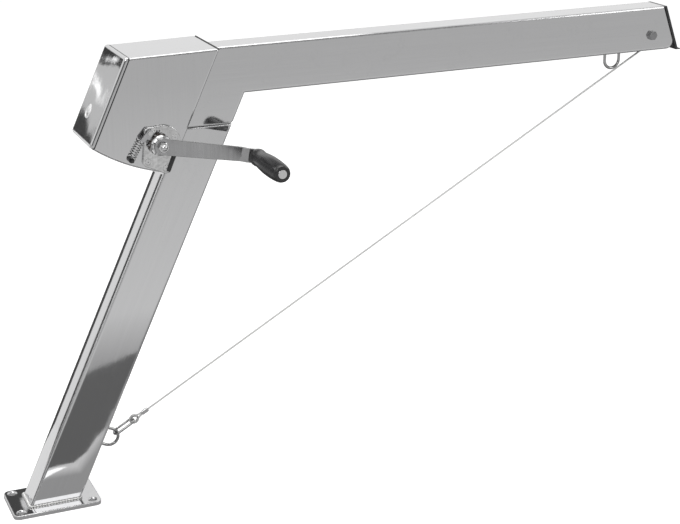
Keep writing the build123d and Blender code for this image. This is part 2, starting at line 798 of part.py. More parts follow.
# Crank shaft with its circlip groove, bushes, square and threaded end
bracket_face = -housing_near - bracket_thickness
inner_disc = bracket_face - bush_proud
ratchet_face = inner_disc - disc_thickness
outer_disc = ratchet_face - ratchet_thickness
pressure_face = outer_disc - disc_thickness
crank_face = pressure_face - pressure_thickness
nut_face = crank_face - crank_plate
bush_end = frame_far + frame_plate + bush_proud
shaft_end = bush_end + 4 * clip_thickness
clip_start = bush_end + end_play
with BuildPart() as crank_shaft:
    revolve(turned(
        crank_centre,
        (nut_face - stud_length, 0),
        (nut_face - stud_length, stud_radius),
        (nut_face, stud_radius),
        (nut_face, shaft_radius),
        (clip_start, shaft_radius),
        (clip_start, shaft_radius - clip_depth),
        (clip_start + clip_thickness, shaft_radius - clip_depth),
        (clip_start + clip_thickness, shaft_radius),
        (shaft_end, shaft_radius),
        (shaft_end, 0),
    ), axis=cross_axis(crank_centre))
    with BuildSketch(cross_plane(crank_centre, crank_face)):
        Circle(2 * shaft_radius)
        Rectangle(crank_square, crank_square, rotation=-crank_drop, mode=Mode.SUBTRACT)
    extrude(amount=crank_plate, mode=Mode.SUBTRACT)
finish(crank_shaft, "crank_shaft")

with BuildPart() as shaft_circlip:
    revolve(sleeve(crank_centre, clip_start, clip_start + clip_thickness,
                   shaft_radius - clip_depth, shaft_radius + clip_reach), axis=cross_axis(crank_centre))
    with BuildSketch(cross_plane(crank_centre, clip_start + clip_thickness)):
        with Locations((0, shaft_radius)):
            Rectangle(shaft_radius, 2 * shaft_radius)
    extrude(amount=clip_thickness, mode=Mode.SUBTRACT)
finish(shaft_circlip, "shaft_circlip")

with BuildPart() as shaft_bushes:
    revolve(sleeve(crank_centre, inner_disc + end_play, -housing_near + housing_wall,
                   bush_bore, bush_outside), axis=cross_axis(crank_centre))
    revolve(sleeve(crank_centre, -frame_near - frame_plate - bush_proud, -frame_near + bush_proud,
                   bush_bore, bush_outside), axis=cross_axis(crank_centre))
    revolve(sleeve(crank_centre, frame_far - bush_proud, bush_end, bush_bore, bush_outside),
            axis=cross_axis(crank_centre))
finish(shaft_bushes, "shaft_bushes")

# Hub bracket: polished plate that carries the shaft's near bush and the pawl
with BuildPart() as hub_bracket:
    with BuildSketch(leaning_plane(-housing_near)):
        with Locations((-bracket_back, bracket_up)):
            Circle(bracket_round)
        with Locations(*[leaning_local(lobe) for lobe in bracket_lobes]):
            Circle(bracket_lobe)
        with Locations(leaning_local(pawl_pivot)):
            Circle(pawl_eye + bracket_edge)
        make_hull()
    extrude(amount=bracket_thickness)
    fillet(hub_bracket.faces().sort_by(Axis.Y)[0].edges(), bracket_edge)
    with Locations(*[cross_plane(place, bracket_face) for place in screw_places]):
        CounterSinkHole(hub_screw + running_fit, hub_screw_head + running_fit, counter_sink_angle=90)
    with Locations(cross_plane(crank_centre, bracket_face)):
        Hole(bush_outside + running_fit)
    with Locations(cross_plane(pawl_pivot, bracket_face)):
        Hole(pawl_pin_radius + running_fit)
finish(hub_bracket, "hub_bracket")

with BuildPart() as hub_screws:
    for place in screw_places:
        revolve(turned(
            place,
            (bracket_face, 0),
            (bracket_face, hub_screw_head),
            (bracket_face + hub_screw_head - hub_screw, hub_screw),
            (-housing_near + housing_wall, hub_screw),
            (-housing_near + housing_wall, 0),
        ), axis=cross_axis(place))
    with BuildSketch(cross_plane(Vector(0, 0, 0), bracket_face)):
        with Locations(*[flat(place) for place in screw_places]):
            RegularPolygon(hub_screw / 2, 6)
    extrude(amount=-hub_screw / 2, mode=Mode.SUBTRACT)
finish(hub_screws, "hub_screws")

# Brake discs, ratchet wheel and pressure plate on the crank shaft
with BuildPart() as friction_discs:
    revolve(sleeve(crank_centre, inner_disc, ratchet_face, bush_bore, disc_radius),
            axis=cross_axis(crank_centre))
    revolve(sleeve(crank_centre, outer_disc, pressure_face, bush_bore, disc_radius),
            axis=cross_axis(crank_centre))
finish(friction_discs, "friction_discs")

# Each tooth climbs to its tip and drops straight to the root, which is the side the pawl holds
tooth_step = 2 * math.pi / ratchet_teeth
tooth_land = ratchet_land * tooth_step
with BuildPart() as ratchet_wheel:
    with BuildSketch(cross_plane(crank_centre, ratchet_face)):
        with BuildLine():
            ratchet_points = []
            for tooth in range(ratchet_teeth):
                drop = tooth * tooth_step
                ratchet_points += [polar(ratchet_tip, drop - tooth_land), polar(ratchet_tip, drop),
                                   polar(ratchet_root, drop)]
            Polyline(*ratchet_points, close=True)
        make_face()
        Circle(bush_bore, mode=Mode.SUBTRACT)
    extrude(amount=ratchet_thickness)
finish(ratchet_wheel, "ratchet_wheel")

with BuildPart() as pressure_plate:
    revolve(turned(
        crank_centre,
        (pressure_face, bush_bore),
        (pressure_face, disc_radius),
        (pressure_face - pressure_thickness / 3, disc_radius),
        (crank_face + pressure_thickness / 4, pressure_radius),
        (crank_face, pressure_radius - pressure_edge),
        (crank_face, bush_bore),
    ), axis=cross_axis(crank_centre))
finish(pressure_plate, "pressure_plate")

# Pawl: hooked lever hung on its pin beside the ratchet, with its tail out to the spring
pawl_far = (ratchet_face + outer_disc + pawl_thickness) / 2
pawl_near = pawl_far - pawl_thickness
pawl_middle = (pawl_far + pawl_near) / 2
nose_place = leaning_point(-crank_back - nose_back, crank_up + nose_up)
tail_place = leaning_point(-crank_back - tail_back, crank_up - tail_down)
with BuildPart() as pawl:
    with BuildSketch(leaning_plane(pawl_far)):
        with Locations(leaning_local(pawl_pivot)):
            Circle(pawl_eye)
        with Locations(leaning_local(nose_place)):
            Circle(pawl_nose)
        make_hull()
    extrude(amount=pawl_thickness)
    with BuildSketch(leaning_plane(pawl_far)):
        with Locations(leaning_local(pawl_pivot)):
            Circle(pawl_eye)
        with Locations(leaning_local(tail_place)):
            Circle(pawl_tail)
        make_hull()
    extrude(amount=pawl_thickness)
    with Locations(cross_plane(pawl_pivot, pawl_near)):
        Hole(pawl_pin_radius + running_fit)
finish(pawl, "pawl")

with BuildPart() as pawl_pin:
    revolve(turned(
        pawl_pivot,
        (-housing_near + housing_wall, 0),
        (-housing_near + housing_wall, pawl_pin_radius),
        (bracket_face, pawl_pin_radius),
        (bracket_face, pin_head),
        (pawl_far + end_play, pin_head),
        (pawl_far + end_play, pawl_pin_radius),
        (pawl_near - end_play, pawl_pin_radius),
        (pawl_near - end_play, pin_head),
        (pawl_near - end_play - pin_head_thickness, pin_head),
        (pawl_near - end_play - pin_head_thickness, 0),
    ), axis=cross_axis(pawl_pivot))
finish(pawl_pin, "pawl_pin")

with BuildPart() as spring_anchor_pin:
    revolve(turned(
        anchor_place,
        (-housing_near + housing_wall, 0),
        (-housing_near + housing_wall, anchor_radius),
        (-housing_near, anchor_radius),
        (-housing_near, 2 * anchor_radius),
        (pawl_far + spring_radius - anchor_radius, 2 * anchor_radius),
        (pawl_far + spring_radius - anchor_radius, anchor_radius),
        (pawl_near - anchor_radius, anchor_radius),
        (pawl_near - anchor_radius, 0),
    ), axis=cross_axis(anchor_place))
finish(spring_anchor_pin, "spring_anchor_pin")

# Pawl spring, as the outer form of its coil, from the anchor pin to just under the pawl's tail
spring_line = tail_place - anchor_place
spring_way = spring_line.normalized()
spring_start = anchor_place + spring_way * (anchor_radius + cable_gap) + Vector(0, pawl_middle, 0)
spring_length = spring_line.length - anchor_radius - pawl_tail - 2 * cable_gap
with BuildPart() as pawl_spring:
    with BuildSketch(Plane(origin=spring_start, z_dir=spring_way)):
        Circle(spring_radius)
        Circle(spring_radius - spring_wire, mode=Mode.SUBTRACT)
    extrude(amount=spring_length)
finish(pawl_spring, "pawl_spring")

# Crank: flat bar set outwards near its end, on the square of the shaft
crank_way = direction(-crank_drop)
grip_centre = crank_centre + crank_way * crank_length
crank_plane = Plane(origin=crank_centre, x_dir=crank_way, z_dir=crank_way.cross(FAR_SIDE))
step_face = nut_face - crank_step
with BuildPart() as crank_arm:
    with BuildSketch(crank_plane):
        with BuildLine():
            Polyline((-crank_root_width, crank_face), (crank_length - step_start, crank_face),
                     (crank_length - step_end, crank_face - crank_step),
                     (crank_length + crank_end_width, crank_face - crank_step),
                     (crank_length + crank_end_width, step_face), (crank_length - step_end, step_face),
                     (crank_length - step_start, nut_face), (-crank_root_width, nut_face), close=True)
        make_face()
    extrude(amount=crank_root_width, both=True)
    with BuildSketch(cross_plane(crank_centre, crank_face)):
        Circle(crank_root_width / 2)
        with Locations(flat(crank_way * crank_length)):
            Circle(crank_end_width / 2)
        make_hull()
    extrude(amount=crank_plate + crank_step, mode=Mode.INTERSECT)
    with BuildSketch(cross_plane(crank_centre, crank_face)):
        Rectangle(crank_square + 2 * running_fit, crank_square + 2 * running_fit, rotation=-crank_drop)
        Circle(shaft_radius + running_fit, mode=Mode.INTERSECT)
    extrude(amount=crank_plate, mode=Mode.SUBTRACT)
    with Locations(cross_plane(grip_centre, step_face)):
        Hole(spindle_radius + running_fit)
finish(crank_arm, "crank_arm")

# Domed nut that holds the crank on the shaft
crank_nut_hex = hexagon(crank_nut_flats, 0, crank_nut_height)
with BuildPart() as crank_nut:
    with Locations(cross_plane(crank_centre, nut_face)):
        add(crank_nut_hex)
    with BuildSketch(turning_plane(crank_centre)):
        with BuildLine():
            crown_foot = nut_face - crank_nut_height / 2
            crown = Line((crown_foot, 0), (crown_foot, crown_radius))
            rise = Line(crown @ 1, (nut_face - crank_nut_height, crown_radius))
            cap = JernArc(rise @ 1, rise % 1, crown_radius, 90)
            Line(cap @ 1, crown @ 0)
        make_face()
    revolve(axis=cross_axis(crank_centre))
    with Locations(cross_plane(crank_centre, nut_face, FAR_SIDE)):
        Hole(stud_radius + running_fit, stud_length + end_play)
finish(crank_nut, "crank_nut")

# Grip spindle: riveted through the crank, with a flat head in the end of the grip
grip_start = step_face - end_play
grip_end = grip_start - grip_length
head_start = grip_end + grip_recess_depth - end_play
with BuildPart() as grip_spindle:
    revolve(turned(
        grip_centre,
        (crank_face - crank_step + rivet_thickness, 0),
        (crank_face - crank_step + rivet_thickness, rivet_head - rivet_thickness / 2),
        (crank_face - crank_step, rivet_head),
        (crank_face - crank_step, spindle_radius),
        (head_start, spindle_radius),
        (head_start, spindle_head),
        (grip_end, spindle_head),
        (grip_end, 0),
    ), axis=cross_axis(grip_centre))
    chamfer(grip_spindle.faces().sort_by(Axis.Y)[0].edges(), spindle_edge)
finish(grip_spindle, "grip_spindle")

# Grip: black handle turned to a collar, a neck and a swelling belly, free on its spindle
grip_bore = spindle_radius + running_fit
with BuildPart() as grip:
    with BuildSketch(turning_plane(grip_centre)):
        with BuildLine():
            collar = ThreePointArc((grip_start, grip_collar - grip_edge),
                                   (grip_start - collar_middle, grip_collar),
                                   (grip_start - collar_end, grip_collar - grip_edge))
            body = Spline(collar @ 1, (grip_start - neck_along, grip_neck),
                          ((grip_start + grip_end) / 2, (grip_neck + grip_belly) / 2),
                          (grip_end + belly_from_end, grip_belly),
                          (grip_end + shoulder_length, grip_belly - grip_edge))
            shoulder = ThreePointArc(body @ 1, (grip_end + shoulder_length / 4, grip_belly - 2 * grip_edge),
                                     (grip_end, grip_recess + grip_edge))
            Polyline(shoulder @ 1, (grip_end, grip_recess), (grip_end + grip_recess_depth, grip_recess),
                     (grip_end + grip_recess_depth, grip_bore), (grip_start, grip_bore), collar @ 0)
        make_face()
    revolve(axis=cross_axis(grip_centre))
finish(grip, "grip")

# Tip sheave with its bush, bolt, nut and spacers
sheave_half = sheave_width / 2
groove_half = cable_diameter / 2 + cable_gap
bush_outer = sheave_bolt_radius + running_fit + bush_wall
with BuildPart() as tip_sheave:
    with BuildSketch(turning_plane(sheave_centre)):
        with BuildLine():
            groove = ThreePointArc((-groove_half, sheave_groove + cable_diameter / 2), (0, sheave_groove),
                                   (groove_half, sheave_groove + cable_diameter / 2))
            Polyline(groove @ 1,
                     (sheave_half - rim_thickness / 2, sheave_rim),
                     (sheave_half, sheave_rim),
                     (sheave_half, sheave_groove - rim_thickness),
                     (sheave_half - rim_thickness, sheave_groove - 2 * rim_thickness),
                     (sheave_half - rim_thickness, bush_outer + 2 * rim_thickness),
                     (sheave_half, bush_outer + rim_thickness),
                     (sheave_half, bush_outer + running_fit),
                     (0, bush_outer + running_fit))
            mirror(about=Plane.YZ)
            Line((-sheave_half, bush_outer + running_fit), (0, bush_outer + running_fit))
        make_face()
    revolve(axis=cross_axis(sheave_centre))
finish(tip_sheave, "tip_sheave")

with BuildPart() as sheave_bush:
    revolve(sleeve(sheave_centre, -sheave_half, sheave_half, sheave_bolt_radius + running_fit, bush_outer),
            axis=cross_axis(sheave_centre))
finish(sheave_bush, "sheave_bush")

bolt_end = tube_width / 2 + sheave_nut_thickness + sheave_bolt_radius / 2
sheave_bolt_hex = hexagon(sheave_bolt_flats, 0, sheave_bolt_head)
with BuildPart() as sheave_bolt:
    with Locations(cross_plane(sheave_centre, -tube_width / 2)):
        add(sheave_bolt_hex)
        Cylinder(sheave_bolt_radius, tube_width / 2 + bolt_end, align=(Align.CENTER, Align.CENTER, Align.MAX))
    chamfer(sheave_bolt.faces().sort_by(Axis.Y)[-1].edges(), thread_chamfer)
finish(sheave_bolt, "sheave_bolt")

sheave_nut_hex = hexagon(sheave_bolt_flats, sheave_bolt_radius + running_fit, sheave_nut_thickness)
with BuildPart() as sheave_nut:
    with Locations(cross_plane(sheave_centre, tube_width / 2, FAR_SIDE)):
        add(sheave_nut_hex)
finish(sheave_nut, "sheave_nut")

with BuildPart() as sheave_spacers:
    revolve(sleeve(sheave_centre, sheave_half + end_play, tube_width / 2 - tube_wall,
                   sheave_bolt_radius + running_fit, bush_outer), axis=cross_axis(sheave_centre))
    mirror(about=Plane.XZ)
finish(sheave_spacers, "sheave_spacers")

# End cap: moulded flange over the slanted end, with a hollow plug inside the tube
end_tilt = direction(arm_rise - end_slant)
cap_thickness = cap_flange / end_tilt.X
with BuildPart() as tip_cap:
    with BuildSketch(cross_plane(Vector(0, 0, 0), tube_width / 2)):
        with BuildLine():
            Polyline(*[flat(place) for place in (
                end_point(0), end_point(0, cap_thickness), end_point(tube_depth, cap_thickness),
                end_point(tube_depth + cap_edge, cap_thickness + cap_lip),
                end_point(tube_depth + 2 * cap_edge, cap_thickness + cap_lip - cap_edge),
                end_point(tube_depth + 2 * cap_edge, cap_thickness - cap_flange), end_point(tube_depth, 0))],
                close=True)
        make_face()
    extrude(amount=tube_width)
    plug_inset = tube_wall + end_play
    with BuildSketch(cross_plane(Vector(0, 0, 0), tube_width / 2 - plug_inset)):
        with BuildLine():
            Polyline(*[flat(place) for place in (
                end_point(plug_inset, -cap_plug), end_point(plug_inset), end_point(tube_depth - plug_inset),
                end_point(tube_depth - plug_inset, -cap_plug))], close=True)
        make_face()
    extrude(amount=tube_width - 2 * plug_inset)
    hollow = plug_inset + tube_wall
    with BuildSketch(cross_plane(Vector(0, 0, 0), tube_width / 2 - hollow)):
        with BuildLine():
            Polyline(*[flat(place) for place in (
                end_point(hollow, -2 * cap_plug), end_point(hollow), end_point(tube_depth - hollow),
                end_point(tube_depth - hollow, -2 * cap_plug))], close=True)
        make_face()
    extrude(amount=tube_width - 2 * hollow, mode=Mode.SUBTRACT)
finish(tip_cap, "tip_cap")

# Wire eyes under the arm and on the column, with nuts inside the tubes
eye_leg = tube_wall + eye_nut_thickness + eye_wire / 2


def wire_eye(plane, rise):
    """U-shaped eye of round wire: threaded legs below the plane, and a bow that starts at a rise."""
    with BuildPart() as eye:
        with BuildLine(plane) as route:
            first = Line((-eye_arc, -eye_leg), (-eye_arc, rise))
            bow = ThreePointArc(first @ 1, (0, rise + eye_arc), (eye_arc, rise))
            Line(bow @ 1, (eye_arc, -eye_leg))
        with BuildSketch(Plane(origin=route.line @ 0, z_dir=route.line % 0)):
            Circle(eye_wire / 2)
        sweep()
        chamfer(eye.faces().filter_by(GeomType.PLANE).edges(), eye_wire / 8)
    return eye


def eye_nuts(plane):
    """The pair of nuts on the legs of an eye, against the tube's inner face."""
    with BuildPart() as nuts:
        with Locations(plane.offset(-tube_wall - eye_nut_thickness)):
            with GridLocations(eye_spacing, 1, 2, 1):
                add(eye_nut_hex)
    return nuts


eye_nut_hex = hexagon(eye_nut_flats, eye_wire / 2 + running_fit, eye_nut_thickness)
column_eye_foot = leaning_point(tube_depth, column_eye_up)
arm_eye_foot = arm_point(arm_eye_along, -tube_depth)
column_eye = wire_eye(Plane(origin=column_eye_foot, x_dir=up_axis, z_dir=FAR_SIDE), column_eye_reach)
finish(column_eye, "column_eye")
arm_eye = wire_eye(Plane(origin=arm_eye_foot, x_dir=arm_direction, z_dir=FAR_SIDE), arm_eye_reach)
finish(arm_eye, "arm_eye")
column_eye_nuts = eye_nuts(Plane(origin=column_eye_foot, x_dir=up_axis, z_dir=forward_axis))
finish(column_eye_nuts, "column_eye_nuts")
arm_eye_nuts = eye_nuts(Plane(origin=arm_eye_foot, x_dir=arm_direction, z_dir=-arm_up))
finish(arm_eye_nuts, "arm_eye_nuts")

# Distances along the pull of the cable, from the middle of the column eye's bow
hook_start = eye_arc - eye_wire / 2 - cable_gap - hook_wire / 2
hook_bend = (hook_width - hook_wire) / 2
hook_run = hook_length - hook_wire
hook_inside = hook_bend - hook_wire / 2
saddle = hook_inside - math.sqrt(hook_inside ** 2 - thimble_width ** 2 / 4)
thimble_along = hook_start + hook_run - hook_wire / 2 - saddle - cable_gap + thimble_radius
ferrule_start = thimble_along + ferrule_lead
ferrule_end = ferrule_start + ferrule_length
pull_plane = Plane(origin=column_eye_centre, x_dir=pull, z_dir=SIDE)


def pull_point(along):
    """A place on the line of the pulled cable."""
    return column_eye_centre + pull * along


# Hoist cable: over the winding, through the knee and the arm, round the sheave, down to the ferrule
def round_corners(centre, wrap, start, turn, count):
    """Corners of a route that turns clockwise round a centre, in equal turns."""
    half = math.radians(turn / count / 2)
    return [centre + direction(start - turn * (2 * corner + 1) / count / 2) * (wrap / math.cos(half))
            for corner in range(count)]


sheave_turn = 180 - pull_angle + inner_angle
wrap_corners = 3
drum_corner = drum_top - run_direction * drum_wrap
sheave_corners = round_corners(sheave_centre, sheave_wrap, inner_angle + 90, sheave_turn, wrap_corners)
drum_low = drum_centre - run_direction * drum_wrap
cable_points = [drum_low, drum_corner] + sheave_corners + [pull_point(ferrule_end)]
cable_radii = [drum_wrap - bend_slack] + [sheave_wrap - bend_slack] * wrap_corners
print("hoist cable radii", [round(radius, 1) for radius in cable_radii])
with BuildPart() as hoist_cable:
    with BuildLine(cross_plane(Vector(0, 0, 0), 0)) as hoist_route:
        FilletPolyline(*[flat(place) for place in cable_points], radius=cable_radii)
    with BuildSketch(Plane(origin=hoist_route.line @ 0, z_dir=hoist_route.line % 0)):
        Circle(cable_diameter / 2)
    sweep()
hoist_length = sum(edge.length for edge in hoist_route.edges())
print("hoist cable length", round(hoist_length, 1), "volume share",
      round(hoist_cable.part.volume / (hoist_length * math.pi * cable_diameter ** 2 / 4), 4))
finish(hoist_cable, "hoist_cable")

# Eye at the end of the cable: round its thimble and back into the ferrule
loop_radius = thimble_radius + thimble_wall + running_fit + cable_diameter / 2
leg_side = cable_diameter / 2 + running_fit
flare_along = thimble_along + math.sqrt((loop_flare + loop_radius) ** 2 - (leg_side + loop_flare) ** 2)
flare_share = loop_radius / (loop_radius + loop_flare)
touch_along = thimble_along + (flare_along - thimble_along) * flare_share
touch_side = (leg_side + loop_flare) * flare_share
half_flare = math.acos((leg_side + loop_flare) / (loop_flare + loop_radius)) / 2
flare_middle_along = flare_along - loop_flare * math.sin(half_flare)
flare_middle_side = leg_side + loop_flare - loop_flare * math.cos(half_flare)
print("cable eye radii", loop_radius, loop_flare)
with BuildPart() as cable_eye:
    with BuildLine(pull_plane) as eye_route:
        Line((ferrule_start, leg_side), (flare_along, leg_side))
        ThreePointArc((flare_along, leg_side), (flare_middle_along, flare_middle_side),
                      (touch_along, touch_side))
        ThreePointArc((touch_along, touch_side), (thimble_along - loop_radius, 0), (touch_along, -touch_side))
        ThreePointArc((touch_along, -touch_side), (flare_middle_along, -flare_middle_side),
                      (flare_along, -leg_side))
        Line((flare_along, -leg_side), (ferrule_start, -leg_side))
    with BuildSketch(Plane(origin=pull_point(ferrule_start) + pull_side * leg_side, z_dir=-pull)):
        Circle(cable_diameter / 2)
    sweep()
print("cable eye length", round(sum(edge.length for edge in eye_route.edges()), 1))
finish(cable_eye, "cable_eye")

# Thimble: bent strip inside the cable's eye, closing towards the ferrule
strip_radius = thimble_radius + thimble_wall / 2
strip_flare = loop_flare + loop_radius - strip_radius
strip_share = strip_radius / (loop_radius + loop_flare)
strip_along = thimble_along + (flare_along - thimble_along) * strip_share
strip_side = (leg_side + loop_flare) * strip_share
tip_side = thimble_wall / 2 + running_fit
tip_along = flare_along - math.sqrt(strip_flare ** 2 - (leg_side + loop_flare - tip_side) ** 2)
with BuildPart() as thimble:
    with BuildSketch(pull_plane):
        with BuildLine():
            bow = ThreePointArc((strip_along, strip_side), (thimble_along - strip_radius, 0),
                                (strip_along, -strip_side))
            TangentArc(bow @ 1, (tip_along, -tip_side), tangent=bow % 1)
            mirror(about=Plane.XZ)
        trace(line_width=thimble_wall)
    extrude(amount=thimble_width / 2, both=True)
finish(thimble, "thimble")

with BuildPart() as ferrule:
    with BuildSketch(Plane(origin=pull_point(ferrule_start), x_dir=pull_side, z_dir=pull)):
        SlotOverall(ferrule_width, ferrule_height)
    extrude(amount=ferrule_length)
    fillet(ferrule.faces().filter_by(Plane(origin=(0, 0, 0), z_dir=pull)).edges(), ferrule_edge)
finish(ferrule, "ferrule")

# Snap hook: bent wire body, with a tongue for the gate's hinge
hook_plane = Plane(origin=pull_point(hook_start), x_dir=pull, z_dir=pull_side)
hinge_along = hook_run - hinge_back
shoulder_along = hook_run - hook_bend
nose_along = hook_bend + hook_nose
with BuildPart() as snap_hook:
    with BuildLine(hook_plane) as hook_route:
        nose = Line((nose_along, hook_bend), (hook_bend, hook_bend))
        low_bend = ThreePointArc(nose @ 1, (0, 0), (hook_bend, -hook_bend))
        spine = Line(low_bend @ 1, (shoulder_along, -hook_bend))
        ThreePointArc(spine @ 1, (hook_run, 0), (shoulder_along, hook_bend))
    with BuildSketch(Plane(origin=hook_route.line @ 0, z_dir=hook_route.line % 0)):
        Circle(hook_wire / 2)
    sweep()
    with BuildSketch(hook_plane.offset(-tongue_thickness / 2)):
        with Locations((hinge_along, hook_bend)):
            Circle(tongue_radius)
        with Locations(((hinge_along + shoulder_along) / 2 + cable_gap / 2, hook_bend)):
            Rectangle(shoulder_along - hinge_along + cable_gap, 2 * tongue_radius)
    extrude(amount=tongue_thickness)
    with Locations(hook_plane):
        with Locations((hinge_along, hook_bend)):
            Hole(hinge_pin + running_fit, 2 * hook_wire)
finish(snap_hook, "snap_hook")

# Hook gate: round bar with a forked, rounded end over the tongue
gate_start = nose_along + gate_gap
with BuildPart() as hook_gate:
    gate_end = hook_plane.from_local_coords(Vector(gate_start, hook_bend, 0))
    with BuildSketch(Plane(origin=gate_end, z_dir=pull)):
        Circle(gate_radius)
    extrude(amount=hinge_along + gate_radius - gate_start)
    with BuildSketch(hook_plane.offset(-gate_radius)):
        with Locations((hinge_along, hook_bend)):
            Circle(gate_radius)
        with Locations(((hinge_along + gate_start) / 2, hook_bend)):
            Rectangle(hinge_along - gate_start, 2 * gate_radius)
    extrude(amount=2 * gate_radius, mode=Mode.INTERSECT)
    with BuildSketch(hook_plane.offset(-fork_slot / 2)):
        with Locations((hinge_along, hook_bend)):
            Rectangle(2 * (tongue_radius + gate_gap), 4 * gate_radius)
            with Locations((tongue_radius + gate_gap, 0)):
                Rectangle(2 * gate_radius, 4 * gate_radius)
    extrude(amount=fork_slot, mode=Mode.SUBTRACT)
    with Locations(hook_plane.offset(gate_radius)):
        with Locations((hinge_along, hook_bend)):
            Hole(hinge_pin + running_fit, 2 * gate_radius)
finish(hook_gate, "hook_gate")

with BuildPart() as gate_pin:
    with BuildSketch(hook_plane.offset(-gate_radius)):
        with Locations((hinge_along, hook_bend)):
            Circle(hinge_pin)
    extrude(amount=2 * gate_radius)
finish(gate_pin, "gate_pin")
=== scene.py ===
"""Looks of a lifting davit: polished tube frame, enclosed hand winch, crank, sheave and hook cable.

Metres, +Z up, +X outboard along the arm, the crank on the -Y side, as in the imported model.
"""

import json
import logging
import math
from dataclasses import dataclass, field, replace
from enum import Enum
from functools import cache, partial
from typing import ClassVar, Iterable, Mapping, Sequence

import bmesh
import bpy
from mathutils import Matrix, Vector

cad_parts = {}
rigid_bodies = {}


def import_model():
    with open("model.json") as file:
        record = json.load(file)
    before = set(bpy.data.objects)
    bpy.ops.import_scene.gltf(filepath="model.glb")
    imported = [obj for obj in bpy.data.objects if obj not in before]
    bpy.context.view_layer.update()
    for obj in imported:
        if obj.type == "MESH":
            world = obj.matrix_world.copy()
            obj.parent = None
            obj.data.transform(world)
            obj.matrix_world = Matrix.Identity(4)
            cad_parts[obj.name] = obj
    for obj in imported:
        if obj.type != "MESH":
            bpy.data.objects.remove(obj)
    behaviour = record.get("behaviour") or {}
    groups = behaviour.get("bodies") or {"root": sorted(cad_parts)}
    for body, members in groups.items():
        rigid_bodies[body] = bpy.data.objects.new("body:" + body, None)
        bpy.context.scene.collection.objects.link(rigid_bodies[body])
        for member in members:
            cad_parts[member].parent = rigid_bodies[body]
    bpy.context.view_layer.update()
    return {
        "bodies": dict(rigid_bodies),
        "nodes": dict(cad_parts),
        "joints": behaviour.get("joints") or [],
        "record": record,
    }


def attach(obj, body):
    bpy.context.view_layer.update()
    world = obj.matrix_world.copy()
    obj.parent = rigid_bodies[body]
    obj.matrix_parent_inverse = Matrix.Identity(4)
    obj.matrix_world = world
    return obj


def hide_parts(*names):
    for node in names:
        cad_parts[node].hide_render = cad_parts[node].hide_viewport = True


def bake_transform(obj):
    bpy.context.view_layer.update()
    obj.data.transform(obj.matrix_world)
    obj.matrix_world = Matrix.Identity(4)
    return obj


log = logging.getLogger("davit")

MM = 0.001
FULL_TURN = 2 * math.pi
CREASE = math.radians(40)

# Directions and places of the davit that several pieces share
LEAN = math.radians(24.7)
RISE = math.radians(0.5)
PULL = Vector((0.869124, 0, 0.494594))
PULL_SIDE = Vector((-PULL.z, 0, PULL.x))
ACROSS = Vector((0, 1, 0))
UP = Vector((0, 0, 1))
AHEAD = Vector((math.cos(LEAN), 0, -math.sin(LEAN)))
ALONG_COLUMN = Vector((math.sin(LEAN), 0, math.cos(LEAN)))
COLUMN_EYE = Vector((0.119770, 0, 0.112847))
DRUM_CENTRE = Vector((0.220466, 0, 0.781798))
CABLE = 0.004

# Signs of a rectangle's corners, in order round it
RECTANGLE = ((1, 1), (-1, 1), (-1, -1), (1, -1))

WHITE = (1, 1, 1, 1)
BLACK = (0, 0, 0, 1)

BMesh = bmesh.types.BMesh
Node = bpy.types.Node
Object = bpy.types.Object
Socket = bpy.types.NodeSocket
Tree = bpy.types.NodeTree

# Where a change starts and where it ends, and the tone before and after it
Ramp = tuple[float, float, float, float]

# Sweep of a section round an axis or along it, left open at both ends
sweep = partial(bmesh.ops.spin, use_merge=False, use_duplicate=False)


class Slot(Enum):
    """Material slots of the record."""

    POLISHED = "polished_steel"
    PLAIN = "plain_steel"
    ROPE = "wire_rope"
    BRONZE = "bronze"
    LINING = "lining"
    GRIP = "black_grip"
    NYLON = "black_nylon"


class Grain(Enum):
    """Which way the rolled or turned grain of a piece runs, as a turn about Y in radians."""

    COLUMN = LEAN
    ARM = math.pi / 2 - RISE
    UPRIGHT = 0.0


def at(x: float, y: float, z: float) -> Vector:
    """Give a dataclass field that starts as a place."""
    return field(default_factory=lambda: Vector((x, y, z)))


# Shader graphs


